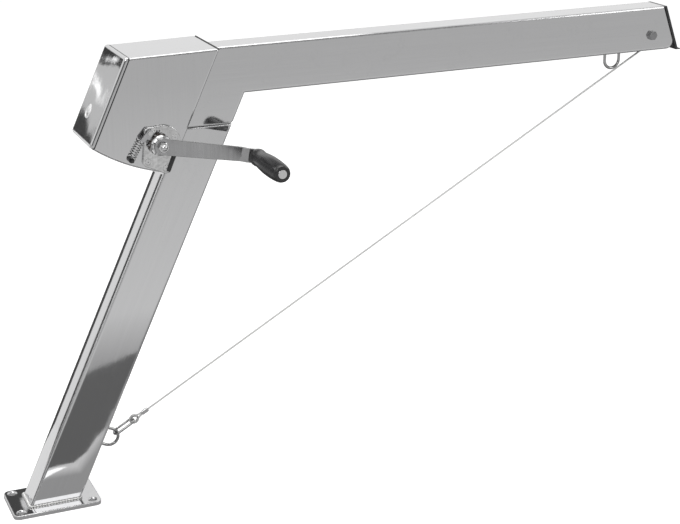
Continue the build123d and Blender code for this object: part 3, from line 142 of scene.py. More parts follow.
class Graph:
    """A node tree with short calls that add and join its nodes."""

    def __init__(self, tree: Tree) -> None:
        """Keep the node tree that this graph builds."""
        self.tree = tree

    def add(self, kind: str, **settings: object) -> Node:
        """Add a node.

        Args:
            kind: The node's type name without the leading ShaderNode.
            settings: Properties of the node.

        Returns:
            The new node.
        """
        node = self.tree.nodes.new("ShaderNode" + kind)
        for name, value in settings.items():
            setattr(node, name, value)
        return node

    @staticmethod
    def preset(node: Node, values: Mapping[str, object]) -> Node:
        """Set inputs of a node by their names.

        Args:
            node: The node.
            values: A number, vector or colour for each input that is set.

        Returns:
            The same node.
        """
        for name, value in values.items():
            node.inputs[name].default_value = value
        return node

    def group(self, tree: Tree, values: Mapping[str, object]) -> Node:
        """Place a shared group with values of its own."""
        return self.preset(self.add("Group", node_tree=tree), values)

    def join(self, source: Socket, *targets: Socket) -> None:
        """Link one output to one or more inputs."""
        for target in targets:
            self.tree.links.new(source, target)

    def rays(self) -> tuple[Socket, Socket]:
        """Tell light rays apart.

        Returns:
            A mask of what gloss sees, and a mask of what is seen straight or through glass.
        """
        path = self.add("LightPath")
        direct = self.math("MAXIMUM", path.outputs["Is Camera Ray"], path.outputs["Is Transmission Ray"])
        return path.outputs["Is Glossy Ray"], direct

    def noise(self, vector: Socket, scale: float, detail: float = 2.0, roughness: float = 0.5) -> Socket:
        """Add a noise texture.

        Args:
            vector: Where the pattern is read.
            scale: Its scale per metre.
            detail: Octaves of finer noise.
            roughness: Share of the finer octaves.

        Returns:
            The noise value, from 0 to 1.
        """
        node = self.preset(self.add("TexNoise"), {"Scale": scale, "Detail": detail, "Roughness": roughness})
        self.join(vector, node.inputs["Vector"])
        return node.outputs["Fac"]

    def spread(self, value: Socket, low: float, high: float, out_low: float = 0.0,
               out_high: float = 1.0) -> Socket:
        """Map a value from one range to another, clamped.

        Args:
            value: The value to map.
            low: Value that becomes out_low.
            high: Value that becomes out_high.
            out_low: Lower end of the result.
            out_high: Upper end of the result.

        Returns:
            The mapped value.
        """
        node = self.preset(self.add("MapRange"), {"From Min": low, "From Max": high, "To Min": out_low,
                                                  "To Max": out_high})
        self.join(value, node.inputs["Value"])
        return node.outputs["Result"]

    def math(self, operation: str, first: Socket, second: Socket | float) -> Socket:
        """Combine two values with a maths node.

        Args:
            operation: The node's operation, such as MULTIPLY.
            first: First value.
            second: Second value, a socket or a number.

        Returns:
            The result.
        """
        node = self.add("Math", operation=operation)
        self.join(first, node.inputs[0])
        if isinstance(second, (int, float)):
            node.inputs[1].default_value = second
        else:
            self.join(second, node.inputs[1])
        return node.outputs[0]

    def crossfade(self, value: Socket, stretch: tuple[float, float], before: Socket, after: Socket) -> Socket:
        """Go over from one tone to another.

        Args:
            value: What decides between them.
            stretch: Where the first tone starts to fade, and where the second is full.
            before: The first tone.
            after: The second tone.

        Returns:
            The tone that results.
        """
        fading = self.math("MULTIPLY", before, self.spread(value, *stretch, 1.0, 0.0))
        return self.math("ADD", fading, self.math("MULTIPLY", after, self.spread(value, *stretch)))

    def blend(self, share: Socket, first: Sequence[float], second: Sequence[float]) -> Socket:
        """Mix two colours.

        Args:
            share: How much of the second colour shows.
            first: Colour at share 0, as three numbers.
            second: Colour at share 1, as three numbers.

        Returns:
            The mixed colour.
        """
        node = self.add("Mix", data_type="RGBA")
        self.join(share, node.inputs[0])
        node.inputs[6].default_value = (*first, 1)
        node.inputs[7].default_value = (*second, 1)
        return node.outputs[2]

    def bump(self, height: Socket, distance: float, normal: Socket | None = None) -> Socket:
        """Turn a height into a normal.

        Args:
            height: Height from 0 to 1.
            distance: Depth of the relief in metres.
            normal: Normal that the relief is added to.

        Returns:
            The new normal.
        """
        node = self.preset(self.add("Bump"), {"Distance": distance, "Strength": 1.0})
        self.join(height, node.inputs["Height"])
        if normal is not None:
            self.join(normal, node.inputs["Normal"])
        return node.outputs["Normal"]


class ShaderGroups:
    """Node groups that several finishes share, each built once."""

    WAVES = {"Detail": 1.5, "Roughness": 0.35}
    # Scale along each axis, octaves and share of the fine hairlines and of the coarse ones
    LINE_LAYERS = (((900, 900, 9), 2.0, 0.6), ((180, 180, 3), 1.0, 0.4))
    # Scale, octaves and roughness of the film, and of the spots that thin it
    FILM, SPOTS = (22.0, 5.0, 0.6), (140.0, 3.0, 0.6)
    # Noise at which lines, film and spots start and are full
    LINE_SPAN, FILM_SPAN, SPOT_SPAN = (0.36, 0.64), (0.45, 0.7), (0.3, 0.6)
    # Cosine of an edge's turn at which its wear, and on metal its painted shade, starts and is full
    EDGE_WEAR_AND_SHADE_SPAN = (0.999, 0.93)
    BEVEL_SAMPLES = 6

    @staticmethod
    def start(name: str, inputs: Mapping[str, float | None],
              outputs: Iterable[str]) -> tuple[Graph, Node, Node]:
        """Start a group.

        Args:
            name: The group's name.
            inputs: Start value of each input, and None for a vector.
            outputs: Name of each output, a number unless it is a normal.

        Returns:
            The group's graph, and its input and output nodes.
        """
        tree = bpy.data.node_groups.new(name, "ShaderNodeTree")
        for label, value in inputs.items():
            kind = "NodeSocketVector" if value is None else "NodeSocketFloat"
            socket = tree.interface.new_socket(label, in_out="INPUT", socket_type=kind)
            if value is not None:
                socket.default_value = value
        for label in outputs:
            kind = "NodeSocketVector" if label == "Normal" else "NodeSocketFloat"
            tree.interface.new_socket(label, in_out="OUTPUT", socket_type=kind)
        return Graph(tree), tree.nodes.new("NodeGroupInput"), tree.nodes.new("NodeGroupOutput")

    @classmethod
    @cache
    def sheet_ripple(cls) -> Tree:
        """Build the slow waves of polished sheet, which bend what it reflects.

        Returns:
            The group, which gives a normal.
        """
        graph, given, result = cls.start(
            "sheet_ripple", {"Vector": None, "Scale": 12.0, "Depth": 0.2, "Normal": None}, ("Normal",))
        waves = graph.preset(graph.add("TexNoise"), cls.WAVES)
        graph.join(given.outputs["Vector"], waves.inputs["Vector"])
        graph.join(given.outputs["Scale"], waves.inputs["Scale"])
        relief = graph.preset(graph.add("Bump"), {"Distance": MM})
        graph.join(waves.outputs["Fac"], relief.inputs["Height"])
        graph.join(given.outputs["Depth"], relief.inputs["Strength"])
        graph.join(given.outputs["Normal"], relief.inputs["Normal"])
        graph.join(relief.outputs["Normal"], result.inputs["Normal"])
        return graph.tree

    @classmethod
    @cache
    def hairlines(cls) -> Tree:
        """Build the fine lines along a piece's grain, left by rolling and polishing.

        Returns:
            The group, which gives a mask.
        """
        graph, given, result = cls.start("hairlines", {"Vector": None}, ("Mask",))
        drawn = []
        for stretch, octaves, share in cls.LINE_LAYERS:
            stretched = graph.add("VectorMath", operation="MULTIPLY")
            stretched.inputs[1].default_value = stretch
            graph.join(given.outputs["Vector"], stretched.inputs[0])
            drawn.append(graph.math("MULTIPLY", graph.noise(stretched.outputs[0], 1.0, octaves), share))
        graph.join(graph.spread(graph.math("ADD", *drawn), *cls.LINE_SPAN), result.inputs["Mask"])
        return graph.tree

    @classmethod
    @cache
    def smudges(cls) -> Tree:
        """Build the cloudy film that wiping leaves.

        Returns:
            The group, which gives a mask.
        """
        graph, given, result = cls.start("smudges", {"Vector": None}, ("Mask",))
        film = graph.spread(graph.noise(given.outputs["Vector"], *cls.FILM), *cls.FILM_SPAN)
        spots = graph.spread(graph.noise(given.outputs["Vector"], *cls.SPOTS), *cls.SPOT_SPAN)
        graph.join(graph.math("MULTIPLY", film, spots), result.inputs["Mask"])
        return graph.tree

    @classmethod
    @cache
    def edge_wear_and_shade(cls) -> Tree:
        """Find where a rounded edge turns away from its faces.

        Returns:
            The group, which gives a mask for edge wear and painted edge shade, and the rounded normal.
        """
        graph, given, result = cls.start("edge_wear_and_shade", {"Radius": 0.0008}, ("Mask", "Normal"))
        rounded = graph.add("Bevel", samples=cls.BEVEL_SAMPLES)
        graph.join(given.outputs["Radius"], rounded.inputs["Radius"])
        facing = graph.add("VectorMath", operation="DOT_PRODUCT")
        graph.join(rounded.outputs["Normal"], facing.inputs[0], result.inputs["Normal"])
        graph.join(graph.add("NewGeometry").outputs["Normal"], facing.inputs[1])
        graph.join(graph.spread(facing.outputs["Value"], *cls.EDGE_WEAR_AND_SHADE_SPAN), result.inputs["Mask"])
        return graph.tree


def start_material(name: str) -> tuple[bpy.types.Material, Graph, Node]:
    """Start a material of nodes.

    Args:
        name: The material's name.

    Returns:
        The material, its graph and its shader.
    """
    made = bpy.data.materials.new(name)
    made.use_nodes = True
    return made, Graph(made.node_tree), made.node_tree.nodes["Principled BSDF"]


# Finishes


@dataclass(frozen=True)
class Finish:
    """A surface finish: a colour, its gloss, and the detail that varies both."""

    # How far film and hairlines bring out the stain, and how far edges bring out wear on plastic and painted
    # shade on metal
    FILM_STAIN, LINE_STAIN, EDGE_STAIN = 0.5, 0.35, 0.6
    # How much film and hairlines dull the gloss
    FILM_DULLING, LINE_DULLING = 0.6, 0.4
    PEBBLES_PER_METRE = 2600.0

    name: str
    slot: Slot
    colour: tuple[float, float, float]
    # Tone of stains, of worn edges on plastic and of painted edge shade on metal
    stain_wear_and_shade: tuple[float, float, float]
    roughness: tuple[float, float]
    ripple: float
    ripple_scale: float = 60.0
    line_depth: float = 0.00001
    edge: float = 0.0004
    metallic: float = 1.0
    grain: Grain = Grain.UPRIGHT
    pebble: float = 0.0

    @cache
    def material(self) -> bpy.types.Material:
        """Build the finish's material, once for all the pieces that wear it.

        Returns:
            The material.
        """
        name = self.name if self.grain is Grain.UPRIGHT else self.name + "_" + self.grain.name.lower()
        made, graph, shader = start_material(name)
        shader.inputs["Metallic"].default_value = self.metallic
        turn = graph.preset(graph.add("Mapping"), {"Rotation": (0, -self.grain.value, 0)})
        graph.join(graph.add("TexCoord").outputs["Object"], turn.inputs["Vector"])
        vector = turn.outputs["Vector"]

        edges = graph.group(ShaderGroups.edge_wear_and_shade(), {"Radius": self.edge})
        lines = graph.group(ShaderGroups.hairlines(), {})
        film = graph.group(ShaderGroups.smudges(), {})
        ripple = graph.group(ShaderGroups.sheet_ripple(), {"Scale": self.ripple_scale, "Depth": self.ripple})
        graph.join(vector, lines.inputs["Vector"], film.inputs["Vector"], ripple.inputs["Vector"])

        film_mask, line_mask, edge_wear_and_shade_mask = (node.outputs["Mask"] for node in (film, lines, edges))
        stain_wear_and_shade_share = graph.math("MAXIMUM", graph.math("MULTIPLY", film_mask, self.FILM_STAIN),
                             graph.math("MULTIPLY", line_mask, self.LINE_STAIN))
        # Edges go over to that tone too: wear on plastic, painted shade on metal
        stain_wear_and_shade_share = graph.math("MAXIMUM", stain_wear_and_shade_share, graph.math("MULTIPLY", edge_wear_and_shade_mask, self.EDGE_STAIN))
        graph.join(graph.blend(stain_wear_and_shade_share, self.colour, self.stain_wear_and_shade), shader.inputs["Base Color"])
        uneven = graph.math("ADD", graph.math("MULTIPLY", film_mask, self.FILM_DULLING),
                            graph.math("MULTIPLY", line_mask, self.LINE_DULLING))
        graph.join(graph.spread(uneven, 0.0, 1.0, *self.roughness), shader.inputs["Roughness"])

        graph.join(edges.outputs["Normal"], ripple.inputs["Normal"])
        normal = graph.bump(line_mask, self.line_depth, ripple.outputs["Normal"])
        if self.pebble > 0:
            normal = graph.bump(graph.noise(vector, self.PEBBLES_PER_METRE), self.pebble, normal)
        graph.join(normal, shader.inputs["Normal"])
        return made


@dataclass(frozen=True)
class RopeFinish:
    """Bright stranded wire, with painted shade in the grooves between its strands."""

    # Depth over which the painted groove shade goes over to the crest
    CREST_SPAN = (0.0, 0.9)
    # Noise at which the wires' tone and gloss start and are full, and the tone's least and most
    TONE_SPAN, TONE_ENDS, GLOSS_SPAN = (0.25, 0.6), (0.7, 1.0), (0.3, 0.7)

    name: str = "laid_wire"
    slot: Slot = Slot.ROPE
    bright: tuple[float, float, float] = (0.78, 0.78, 0.775)
    # Colour in the grooves, painted shade
    groove: tuple[float, float, float] = (0.42, 0.42, 0.42)
    metallic: float = 0.4
    roughness: tuple[float, float] = (0.3, 0.48)
    wires_per_metre: float = 1500.0
    wire_depth: float = 0.00015

    @cache
    def material(self) -> bpy.types.Material:
        """Build the rope's material, once for all the pieces that wear it.

        Returns:
            The material, which reads the mesh attribute lay for the depth in a groove and paints the grooves
            darker as shade.
        """
        made, graph, shader = start_material(self.name)
        shader.inputs["Metallic"].default_value = self.metallic
        depth = graph.add("Attribute", attribute_name="lay")
        wires = graph.noise(graph.add("TexCoord").outputs["Object"], self.wires_per_metre)
        crest = graph.spread(depth.outputs["Fac"], *self.CREST_SPAN)
        # Painted shade in the grooves, times the wires' own tone
        out_of_groove_shade = graph.math("MULTIPLY", crest, graph.spread(wires, *self.TONE_SPAN, *self.TONE_ENDS))
        graph.join(graph.blend(out_of_groove_shade, self.groove, self.bright), shader.inputs["Base Color"])
        graph.join(graph.spread(wires, *self.GLOSS_SPAN, *self.roughness), shader.inputs["Roughness"])
        graph.join(graph.bump(wires, self.wire_depth), shader.inputs["Normal"])
        return made


POLISHED = Finish("polished_sheet", Slot.POLISHED, (0.60, 0.60, 0.605), (0.55, 0.55, 0.555),
                  roughness=(0.04, 0.11), ripple=0.25, ripple_scale=9.0, line_depth=0.000004, edge=0.0030)
POLISHED_COLUMN = replace(POLISHED, name="polished_tube", roughness=(0.035, 0.095), ripple=0.20,
                          ripple_scale=7.0, edge=0.0042, grain=Grain.COLUMN)
POLISHED_ARM = replace(POLISHED_COLUMN, grain=Grain.ARM)
POLISHED_COVER = replace(POLISHED, name="pressed_cover", roughness=(0.03, 0.08), ripple=0.4,
                         ripple_scale=16.0)
POLISHED_CASTING = Finish("polished_casting", Slot.POLISHED, (0.66, 0.66, 0.66), (0.22, 0.22, 0.22),
                          roughness=(0.05, 0.13), ripple=1.0, ripple_scale=150.0, line_depth=0.000006,
                          edge=0.0022)
POLISHED_FITTING = Finish("polished_fitting", Slot.POLISHED, (0.62, 0.62, 0.62), (0.50, 0.50, 0.505),
                          roughness=(0.09, 0.21), ripple=0.05)
SATIN_CHROME = Finish("satin_chrome", Slot.POLISHED, (0.86, 0.86, 0.86), (0.70, 0.70, 0.70),
                      roughness=(0.30, 0.44), ripple=0.05, ripple_scale=80.0, line_depth=0.000006,
                      edge=0.0006, metallic=0.35)
BENT_ROD = Finish("bent_rod", Slot.POLISHED, (0.40, 0.40, 0.40), (0.26, 0.26, 0.26), roughness=(0.08, 0.2),
                  ripple=0.1, line_depth=0.000008)
WELD = Finish("weld_bead", Slot.POLISHED, (0.58, 0.58, 0.575), (0.42, 0.41, 0.40), roughness=(0.16, 0.32),
              ripple=0.1, ripple_scale=120.0, pebble=0.00004)
BOLT_STEEL = Finish("bolt_steel", Slot.PLAIN, (0.30, 0.30, 0.305), (0.20, 0.20, 0.20), roughness=(0.16, 0.3),
                    ripple=0.2, ripple_scale=120.0, edge=0.0010)
MACHINED = Finish("machined_steel", Slot.PLAIN, (0.50, 0.50, 0.51), (0.38, 0.38, 0.39), roughness=(0.24, 0.4),
                  ripple=0.05, ripple_scale=40.0, line_depth=0.000015)
CRANK_STEEL = Finish("crank_steel", Slot.PLAIN, (0.42, 0.42, 0.425), (0.26, 0.26, 0.26),
                     roughness=(0.24, 0.4), ripple=0.6, ripple_scale=40.0, line_depth=0.000012, edge=0.0016)
SPRING_WIRE = Finish("spring_wire", Slot.PLAIN, (0.30, 0.30, 0.30), (0.16, 0.16, 0.16), roughness=(0.18, 0.3),
                     ripple=0.0, ripple_scale=40.0, line_depth=0.000004, edge=0.0001)
BRONZE = Finish("turned_bronze", Slot.BRONZE, (0.55, 0.36, 0.15), (0.36, 0.22, 0.09), roughness=(0.22, 0.38),
                ripple=0.05, line_depth=0.000012, edge=0.0003)
LINING = Finish("brake_lining", Slot.LINING, (0.075, 0.06, 0.05), (0.11, 0.09, 0.075),
                roughness=(0.75, 0.9), ripple=0.0, line_depth=0.00002, edge=0.0003, metallic=0.0,
                pebble=0.00008)
GRIP_BLACK = Finish("grip_black", Slot.GRIP, (0.012, 0.012, 0.013), (0.035, 0.035, 0.036),
                    roughness=(0.22, 0.38), ripple=0.0, line_depth=0.000008,
                    edge=0.0006, metallic=0.0, pebble=0.00001)
NYLON_BLACK = Finish("nylon_black", Slot.NYLON, (0.014, 0.014, 0.015), (0.04, 0.04, 0.042),
                     roughness=(0.34, 0.5), ripple=0.03, line_depth=0.000008,
                     edge=0.0006, metallic=0.0, pebble=0.00002)
ROPE = RopeFinish()


# Mesh helpers


def put_in_scene(name: str, data: bpy.types.ID) -> Object:
    """Make an object and link it to the scene.

    Args:
        name: The object's name.
        data: Its mesh, curve, lamp or camera.

    Returns:
        The object, at the origin.
    """
    made = bpy.data.objects.new(name, data)
    bpy.context.scene.collection.objects.link(made)
    return made


def show(name: str, mesh: BMesh, material: bpy.types.Material) -> Object:
    """Make an object of a finished bmesh.

    Args:
        name: Name of the object and of its mesh.
        mesh: The bmesh, which is freed.
        material: What it wears.

    Returns:
        The object, at the origin.
    """
    data = bpy.data.meshes.new(name)
    mesh.to_mesh(data)
    mesh.free()
    data.materials.append(material)
    return put_in_scene(name, data)


def new_piece(name: str, mesh: BMesh, finish: Finish | RopeFinish, body: str | None) -> Object:
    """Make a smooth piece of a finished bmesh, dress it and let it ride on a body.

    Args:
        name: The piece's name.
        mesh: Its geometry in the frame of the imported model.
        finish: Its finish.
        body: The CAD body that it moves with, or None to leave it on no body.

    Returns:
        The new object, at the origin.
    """
    for face in mesh.faces:
        face.smooth = True
    for edge in mesh.edges:
        edge.smooth = edge.calc_face_angle(0) < CREASE
    piece = show(name, mesh, finish.material())
    if body is not None:
        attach(piece, body)
    log.info("%s: %d faces on %s", name, len(piece.data.polygons), body or "two bodies")
    return piece


def edges_of(verts: Iterable[bmesh.types.BMVert]) -> list[bmesh.types.BMEdge]:
    """Give the edges at some points, each once."""
    return list(dict.fromkeys(edge for vert in verts for edge in vert.link_edges))


def ring_of_wire(mesh: BMesh, centre: Vector, out: Vector, axis: Vector, bend: float, wire: float,
                 sides: int) -> list[bmesh.types.BMEdge]:
    """Start a wire with a round section, at a radius from an axis.

    Args:
        mesh: Where the section goes.
        centre: Centre of the bend that follows.
        out: Direction from the centre to the section.
        axis: Axis of the bend.
        bend: Radius of the bend.
        wire: Radius of the wire.
        sides: Sides of the section.

    Returns:
        The section's edges, ready to sweep.
    """
    made = bmesh.ops.create_circle(mesh, segments=sides, radius=wire)
    turn = Matrix((out.normalized(), axis.normalized(), out.cross(axis).normalized())).transposed().to_4x4()
    place = Matrix.Translation(centre + out.normalized() * bend) @ turn
    bmesh.ops.transform(mesh, matrix=place, verts=made["verts"])
    return edges_of(made["verts"])


def turned(profile: Iterable[Vector], centre: Vector, axis: Vector, sides: int) -> BMesh:
    """Turn a closed profile once round an axis, as on a lathe.

    Args:
        profile: Points of the profile, in order round it.
        centre: A point on the axis.
        axis: Direction of the axis.
        sides: Steps of the full turn.

    Returns:
        The closed mesh.
    """
    mesh = bmesh.new()
    ring = [mesh.verts.new(place) for place in profile]
    edges = [mesh.edges.new((ring[number - 1], vert)) for number, vert in enumerate(ring)]
    bmesh.ops.spin(mesh, geom=ring + edges, cent=centre, axis=axis, dvec=(0, 0, 0), angle=FULL_TURN,
                   steps=sides, use_merge=True, use_duplicate=False)
    close_ends(mesh)
    return mesh


def close_ends(mesh: BMesh, merge: float = 1e-7) -> None:
    """Merge doubles, cap the open ends and turn every face outwards.

    Args:
        mesh: The piece so far.
        merge: Distance within which two points become one.
    """
    bmesh.ops.remove_doubles(mesh, verts=mesh.verts, dist=merge)
    bmesh.ops.holes_fill(mesh, edges=[edge for edge in mesh.edges if edge.is_boundary], sides=0)
    bmesh.ops.recalc_face_normals(mesh, faces=mesh.faces)


def smooth_route(points: Sequence[Vector], resolution: int, closed: bool = False) -> list[Vector]:
    """Lay a NURBS spline through control points and read its line.

    Args:
        points: Control points, from one end to the other.
        resolution: Steps for each control point.
        closed: Whether the line comes back to its start.

    Returns:
        Points along the line, the first of them again at the end of a closed one.
    """
    data = bpy.data.curves.new("route", "CURVE")
    data.dimensions = "3D"
    spline = data.splines.new("NURBS")
    spline.points.add(len(points) - 1)
    for control, place in zip(spline.points, points):
        control.co = (*place, 1)
    spline.order_u = 3
    spline.use_endpoint_u = not closed
    spline.use_cyclic_u = closed
    spline.resolution_u = resolution
    curve = put_in_scene("route", data)
    bpy.context.view_layer.update()
    line = bpy.data.meshes.new_from_object(curve)
    places = [vert.co.copy() for vert in line.vertices]
    bpy.data.meshes.remove(line)
    bpy.data.objects.remove(curve)
    return places + places[:1] if closed else places


def even_places(places: Sequence[Vector], step: float) -> list[Vector]:
    """Read a line at even distances.

    Args:
        places: Points along the line.
        step: Distance wanted between the points.

    Returns:
        Evenly spaced points with the same two ends.
    """
    lengths = [0.0]
    for near, far in zip(places, places[1:]):
        lengths.append(lengths[-1] + (far - near).length)
    count = max(2, round(lengths[-1] / step))
    spaced, part = [], 0
    for number in range(count + 1):
        wanted = lengths[-1] * number / count
        while part < len(places) - 2 and lengths[part + 1] < wanted:
            part += 1
        span = lengths[part + 1] - lengths[part]
        share = min(1.0, (wanted - lengths[part]) / span) if span > 0 else 0.0
        spaced.append(places[part].lerp(places[part + 1], share))
    return spaced


def bend_rod(mesh: BMesh, line: Sequence[Vector], step: float, across: Vector) -> None:
    """Move the sections of a straight rod along Z to a line.

    Args:
        mesh: The straight rod.
        line: The line's points, one for each section.
        step: Distance between the rod's sections.
        across: Direction square to the plane that the line lies in.
    """
    last = len(line) - 1
    closed = (line[0] - line[last]).length < step / 10
    for vert in mesh.verts:
        number = min(last, max(0, round(vert.co.z / step)))
        before = line[last - 1] if closed and number == 0 else line[max(0, number - 1)]
        after = line[1] if closed and number == last else line[min(last, number + 1)]
        side = (after - before).normalized().cross(across)
        vert.co = line[number] + side * vert.co.x + across * vert.co.y


# Cable, weld and seals


@dataclass
class Bead:
    """A round rod along a line, such as a weld bead or a seal, with scales if it is a weld."""

    name: str
    corners: list[Vector]
    across: Vector
    finish: Finish
    radius: float
    step: float = 0.0008
    corner_run: float = 0.005
    scale_height: float = 0.0
    scale_pitch: float = 0.0028
    closed: bool = True
    sides: int = 10
    resolution: int = 24

    def route(self) -> list[Vector]:
        """Give the control points of the line.

        Returns:
            The corners, each with a point before and after it where the line is closed.
        """
        if not self.closed:
            return self.corners
        points = []
        for number, corner in enumerate(self.corners):
            before, after = self.corners[number - 1], self.corners[(number + 1) % len(self.corners)]
            points += [corner + (before - corner).normalized() * self.corner_run, corner,
                       corner + (after - corner).normalized() * self.corner_run]
        return points

    def build(self, body: str) -> Object:
        """Make the bead and let it ride on a body.

        Args:
            body: The CAD body.

        Returns:
            The bead.
        """
        line = even_places(smooth_route(self.route(), self.resolution, self.closed), self.step)
        mesh = bmesh.new()
        section = bmesh.ops.create_circle(mesh, segments=self.sides, radius=self.radius)
        sweep(mesh, geom=edges_of(section["verts"]), axis=UP, dvec=UP * self.step, angle=0,
              steps=len(line) - 1)
        for vert in mesh.verts:
            swell = 1 + self.scale_height / self.radius * math.sin(FULL_TURN * vert.co.z / self.scale_pitch)
            vert.co.x *= swell
            vert.co.y *= swell
        bend_rod(mesh, line, self.step, self.across)
        close_ends(mesh)
        return new_piece(self.name, mesh, self.finish, body)


@dataclass
class LaidRope:
    """Wire rope of six strands, bent along a line in the upright plane."""

    name: str
    points: list[Vector]
    lay: float = 0.026
    strands: int = 6
    steps_per_lay: int = 16
    groove: float = 0.26
    resolution: int = 200
    merge: float = 2e-6

    def build(self, replaced: str) -> tuple[Object, list[Vector]]:
        """Make the rope and let it stand for its CAD node.

        Args:
            replaced: The CAD node.

        Returns:
            The rope, and the line that it follows.
        """
        places = smooth_route(self.points, self.resolution)
        length = sum((far - near).length for near, far in zip(places, places[1:]))
        lays = max(1, round(length / self.lay))
        step = length / lays / self.steps_per_lay
        line = even_places(places, step)
        mesh = bmesh.new()
        depth = mesh.verts.layers.float.new("lay")
        section = bmesh.ops.create_circle(mesh, segments=4 * self.strands, radius=CABLE / 2)
        for vert in section["verts"]:
            crest = abs(math.cos(self.strands / 2 * math.atan2(vert.co.y, vert.co.x)))
            # Depth mark that the rope material paints as groove shade
            vert[depth] = crest
            vert.co *= 1 - self.groove * (1 - crest)
        sweep(mesh, geom=edges_of(section["verts"]), axis=UP, dvec=UP * step, angle=FULL_TURN,
              steps=self.steps_per_lay)
        one_lay = mesh.verts[:] + mesh.edges[:] + mesh.faces[:]
        for number in range(1, lays):
            copy = bmesh.ops.duplicate(mesh, geom=one_lay)
            moved = [item for item in copy["geom"] if isinstance(item, bmesh.types.BMVert)]
            bmesh.ops.translate(mesh, verts=moved, vec=(0, 0, length / lays * number))
        bend_rod(mesh, line, step, ACROSS)
        close_ends(mesh, self.merge)
        piece = new_piece(self.name, mesh, ROPE, "frame_body")
        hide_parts(replaced)
        return piece, line


@dataclass
class HoistLine:
    """The cable from the drum over the sheave to the hook, and the eye at its end.

    The eye's marks are millimetres along the pull from the column eye, and beside it.
    """

    route: list[Vector] = field(default_factory=lambda: [Vector((x, 0, z)) for x, z in (
        (0.188181, 0.780826), (0.187209, 0.813112), (0.243484, 0.814806), (1.271839, 0.845764),
        (1.309892, 0.846909), (1.328363, 0.825683), (1.323640, 0.797944), (1.290553, 0.779116),
        (0.219806, 0.169776), (0.198947, 0.157905))])
    hoist_length: float = 2.487
    eye_length: float = 0.0679
    eye_marks: tuple[tuple[float, float], ...] = ((77.1, 2.05), (68.1, 2.05), (60.0, 9.96), (49.65, 5.61))

    @staticmethod
    def on_pull(along: float, side: float) -> Vector:
        """A place by its millimetres along the pull from the column eye, and beside it."""
        return COLUMN_EYE + PULL * along * MM + PULL_SIDE * side * MM

    def build(self) -> None:
        """Make the hoist cable and its eye."""
        hoist, line = LaidRope("hoist_rope", self.route).build("hoist_cable")
        marks = [self.on_pull(along, side) for along, side in self.eye_marks]
        marks += [self.on_pull(along, -side) for along, side in reversed(self.eye_marks)]
        eye, eye_line = LaidRope("eye_rope", marks, steps_per_lay=24, resolution=60).build("cable_eye")


@dataclass
class DrumWinding:
    """Turns of the cable laid side by side on the drum."""

    radius: float = 0.028
    half_width: float = 0.0216
    pitch: float = 0.00405
    start_angle: float = math.radians(91.7)
    steps_per_turn: int = 28
    sides: int = 12
    # How far the drum's turns stand out of the rope's painted groove shade
    crest: float = 0.8

    def build(self) -> None:
        """Make the outer layer of turns, which stands for the wound cable."""
        turns = 2 * self.half_width / self.pitch
        steps = round(turns * self.steps_per_turn)
        mesh = bmesh.new()
        depth = mesh.verts.layers.float.new("lay")
        out = Vector((math.cos(self.start_angle), 0, math.sin(self.start_angle)))
        start = DRUM_CENTRE - ACROSS * self.half_width
        edges = ring_of_wire(mesh, start, out, ACROSS, self.radius, CABLE / 2, self.sides)
        for vert in mesh.verts:
            vert[depth] = self.crest
        sweep(mesh, geom=edges, cent=start, axis=ACROSS, dvec=ACROSS * (2 * self.half_width / steps),
              angle=FULL_TURN * turns, steps=steps)
        close_ends(mesh)
        piece = new_piece("drum_turns", mesh, ROPE, "drum_body")
        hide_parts("cable_on_drum")


# Winch


@dataclass
class PawlSpring:
    """Tension spring from the anchor pin to the tail of the pawl."""

    anchor: Vector = at(0.170603, -0.072, 0.681646)
    tail: Vector = at(0.192660, -0.072, 0.718831)
    coil_radius: float = 0.0033
    wire: float = 0.0008
    sides: int = 8
    turns: int = 6
    steps_per_turn: int = 16
    end_gap: float = 0.0075
    hook_turn: float = 0.8
    hook_steps: int = 18

    def build(self) -> None:
        """Make the coil and the hooks at its ends."""
        way = (self.tail - self.anchor).normalized()
        out = way.cross(ACROSS)
        low = self.anchor + way * self.end_gap
        length = (self.tail - self.anchor).length - 2 * self.end_gap
        steps = self.turns * self.steps_per_turn
        mesh = bmesh.new()
        edges = ring_of_wire(mesh, low, out, way, self.coil_radius, self.wire, self.sides)
        sweep(mesh, geom=edges, cent=low, axis=way, dvec=way * (length / steps), angle=FULL_TURN * self.turns,
              steps=steps)
        hook, axis = self.end_gap / 2, out.cross(way)
        for end, facing in ((low, -1), (low + way * length, 1)):
            middle = end + way * hook * facing
            arc = ring_of_wire(mesh, middle, out, axis, hook, self.wire, self.sides)
            sweep(mesh, geom=arc, cent=middle, axis=axis, angle=FULL_TURN * self.hook_turn * -facing,
                  steps=self.hook_steps)
        close_ends(mesh)
        piece = new_piece("pawl_coil", mesh, SPRING_WIRE, None)
        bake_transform(piece)
        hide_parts("pawl_spring")


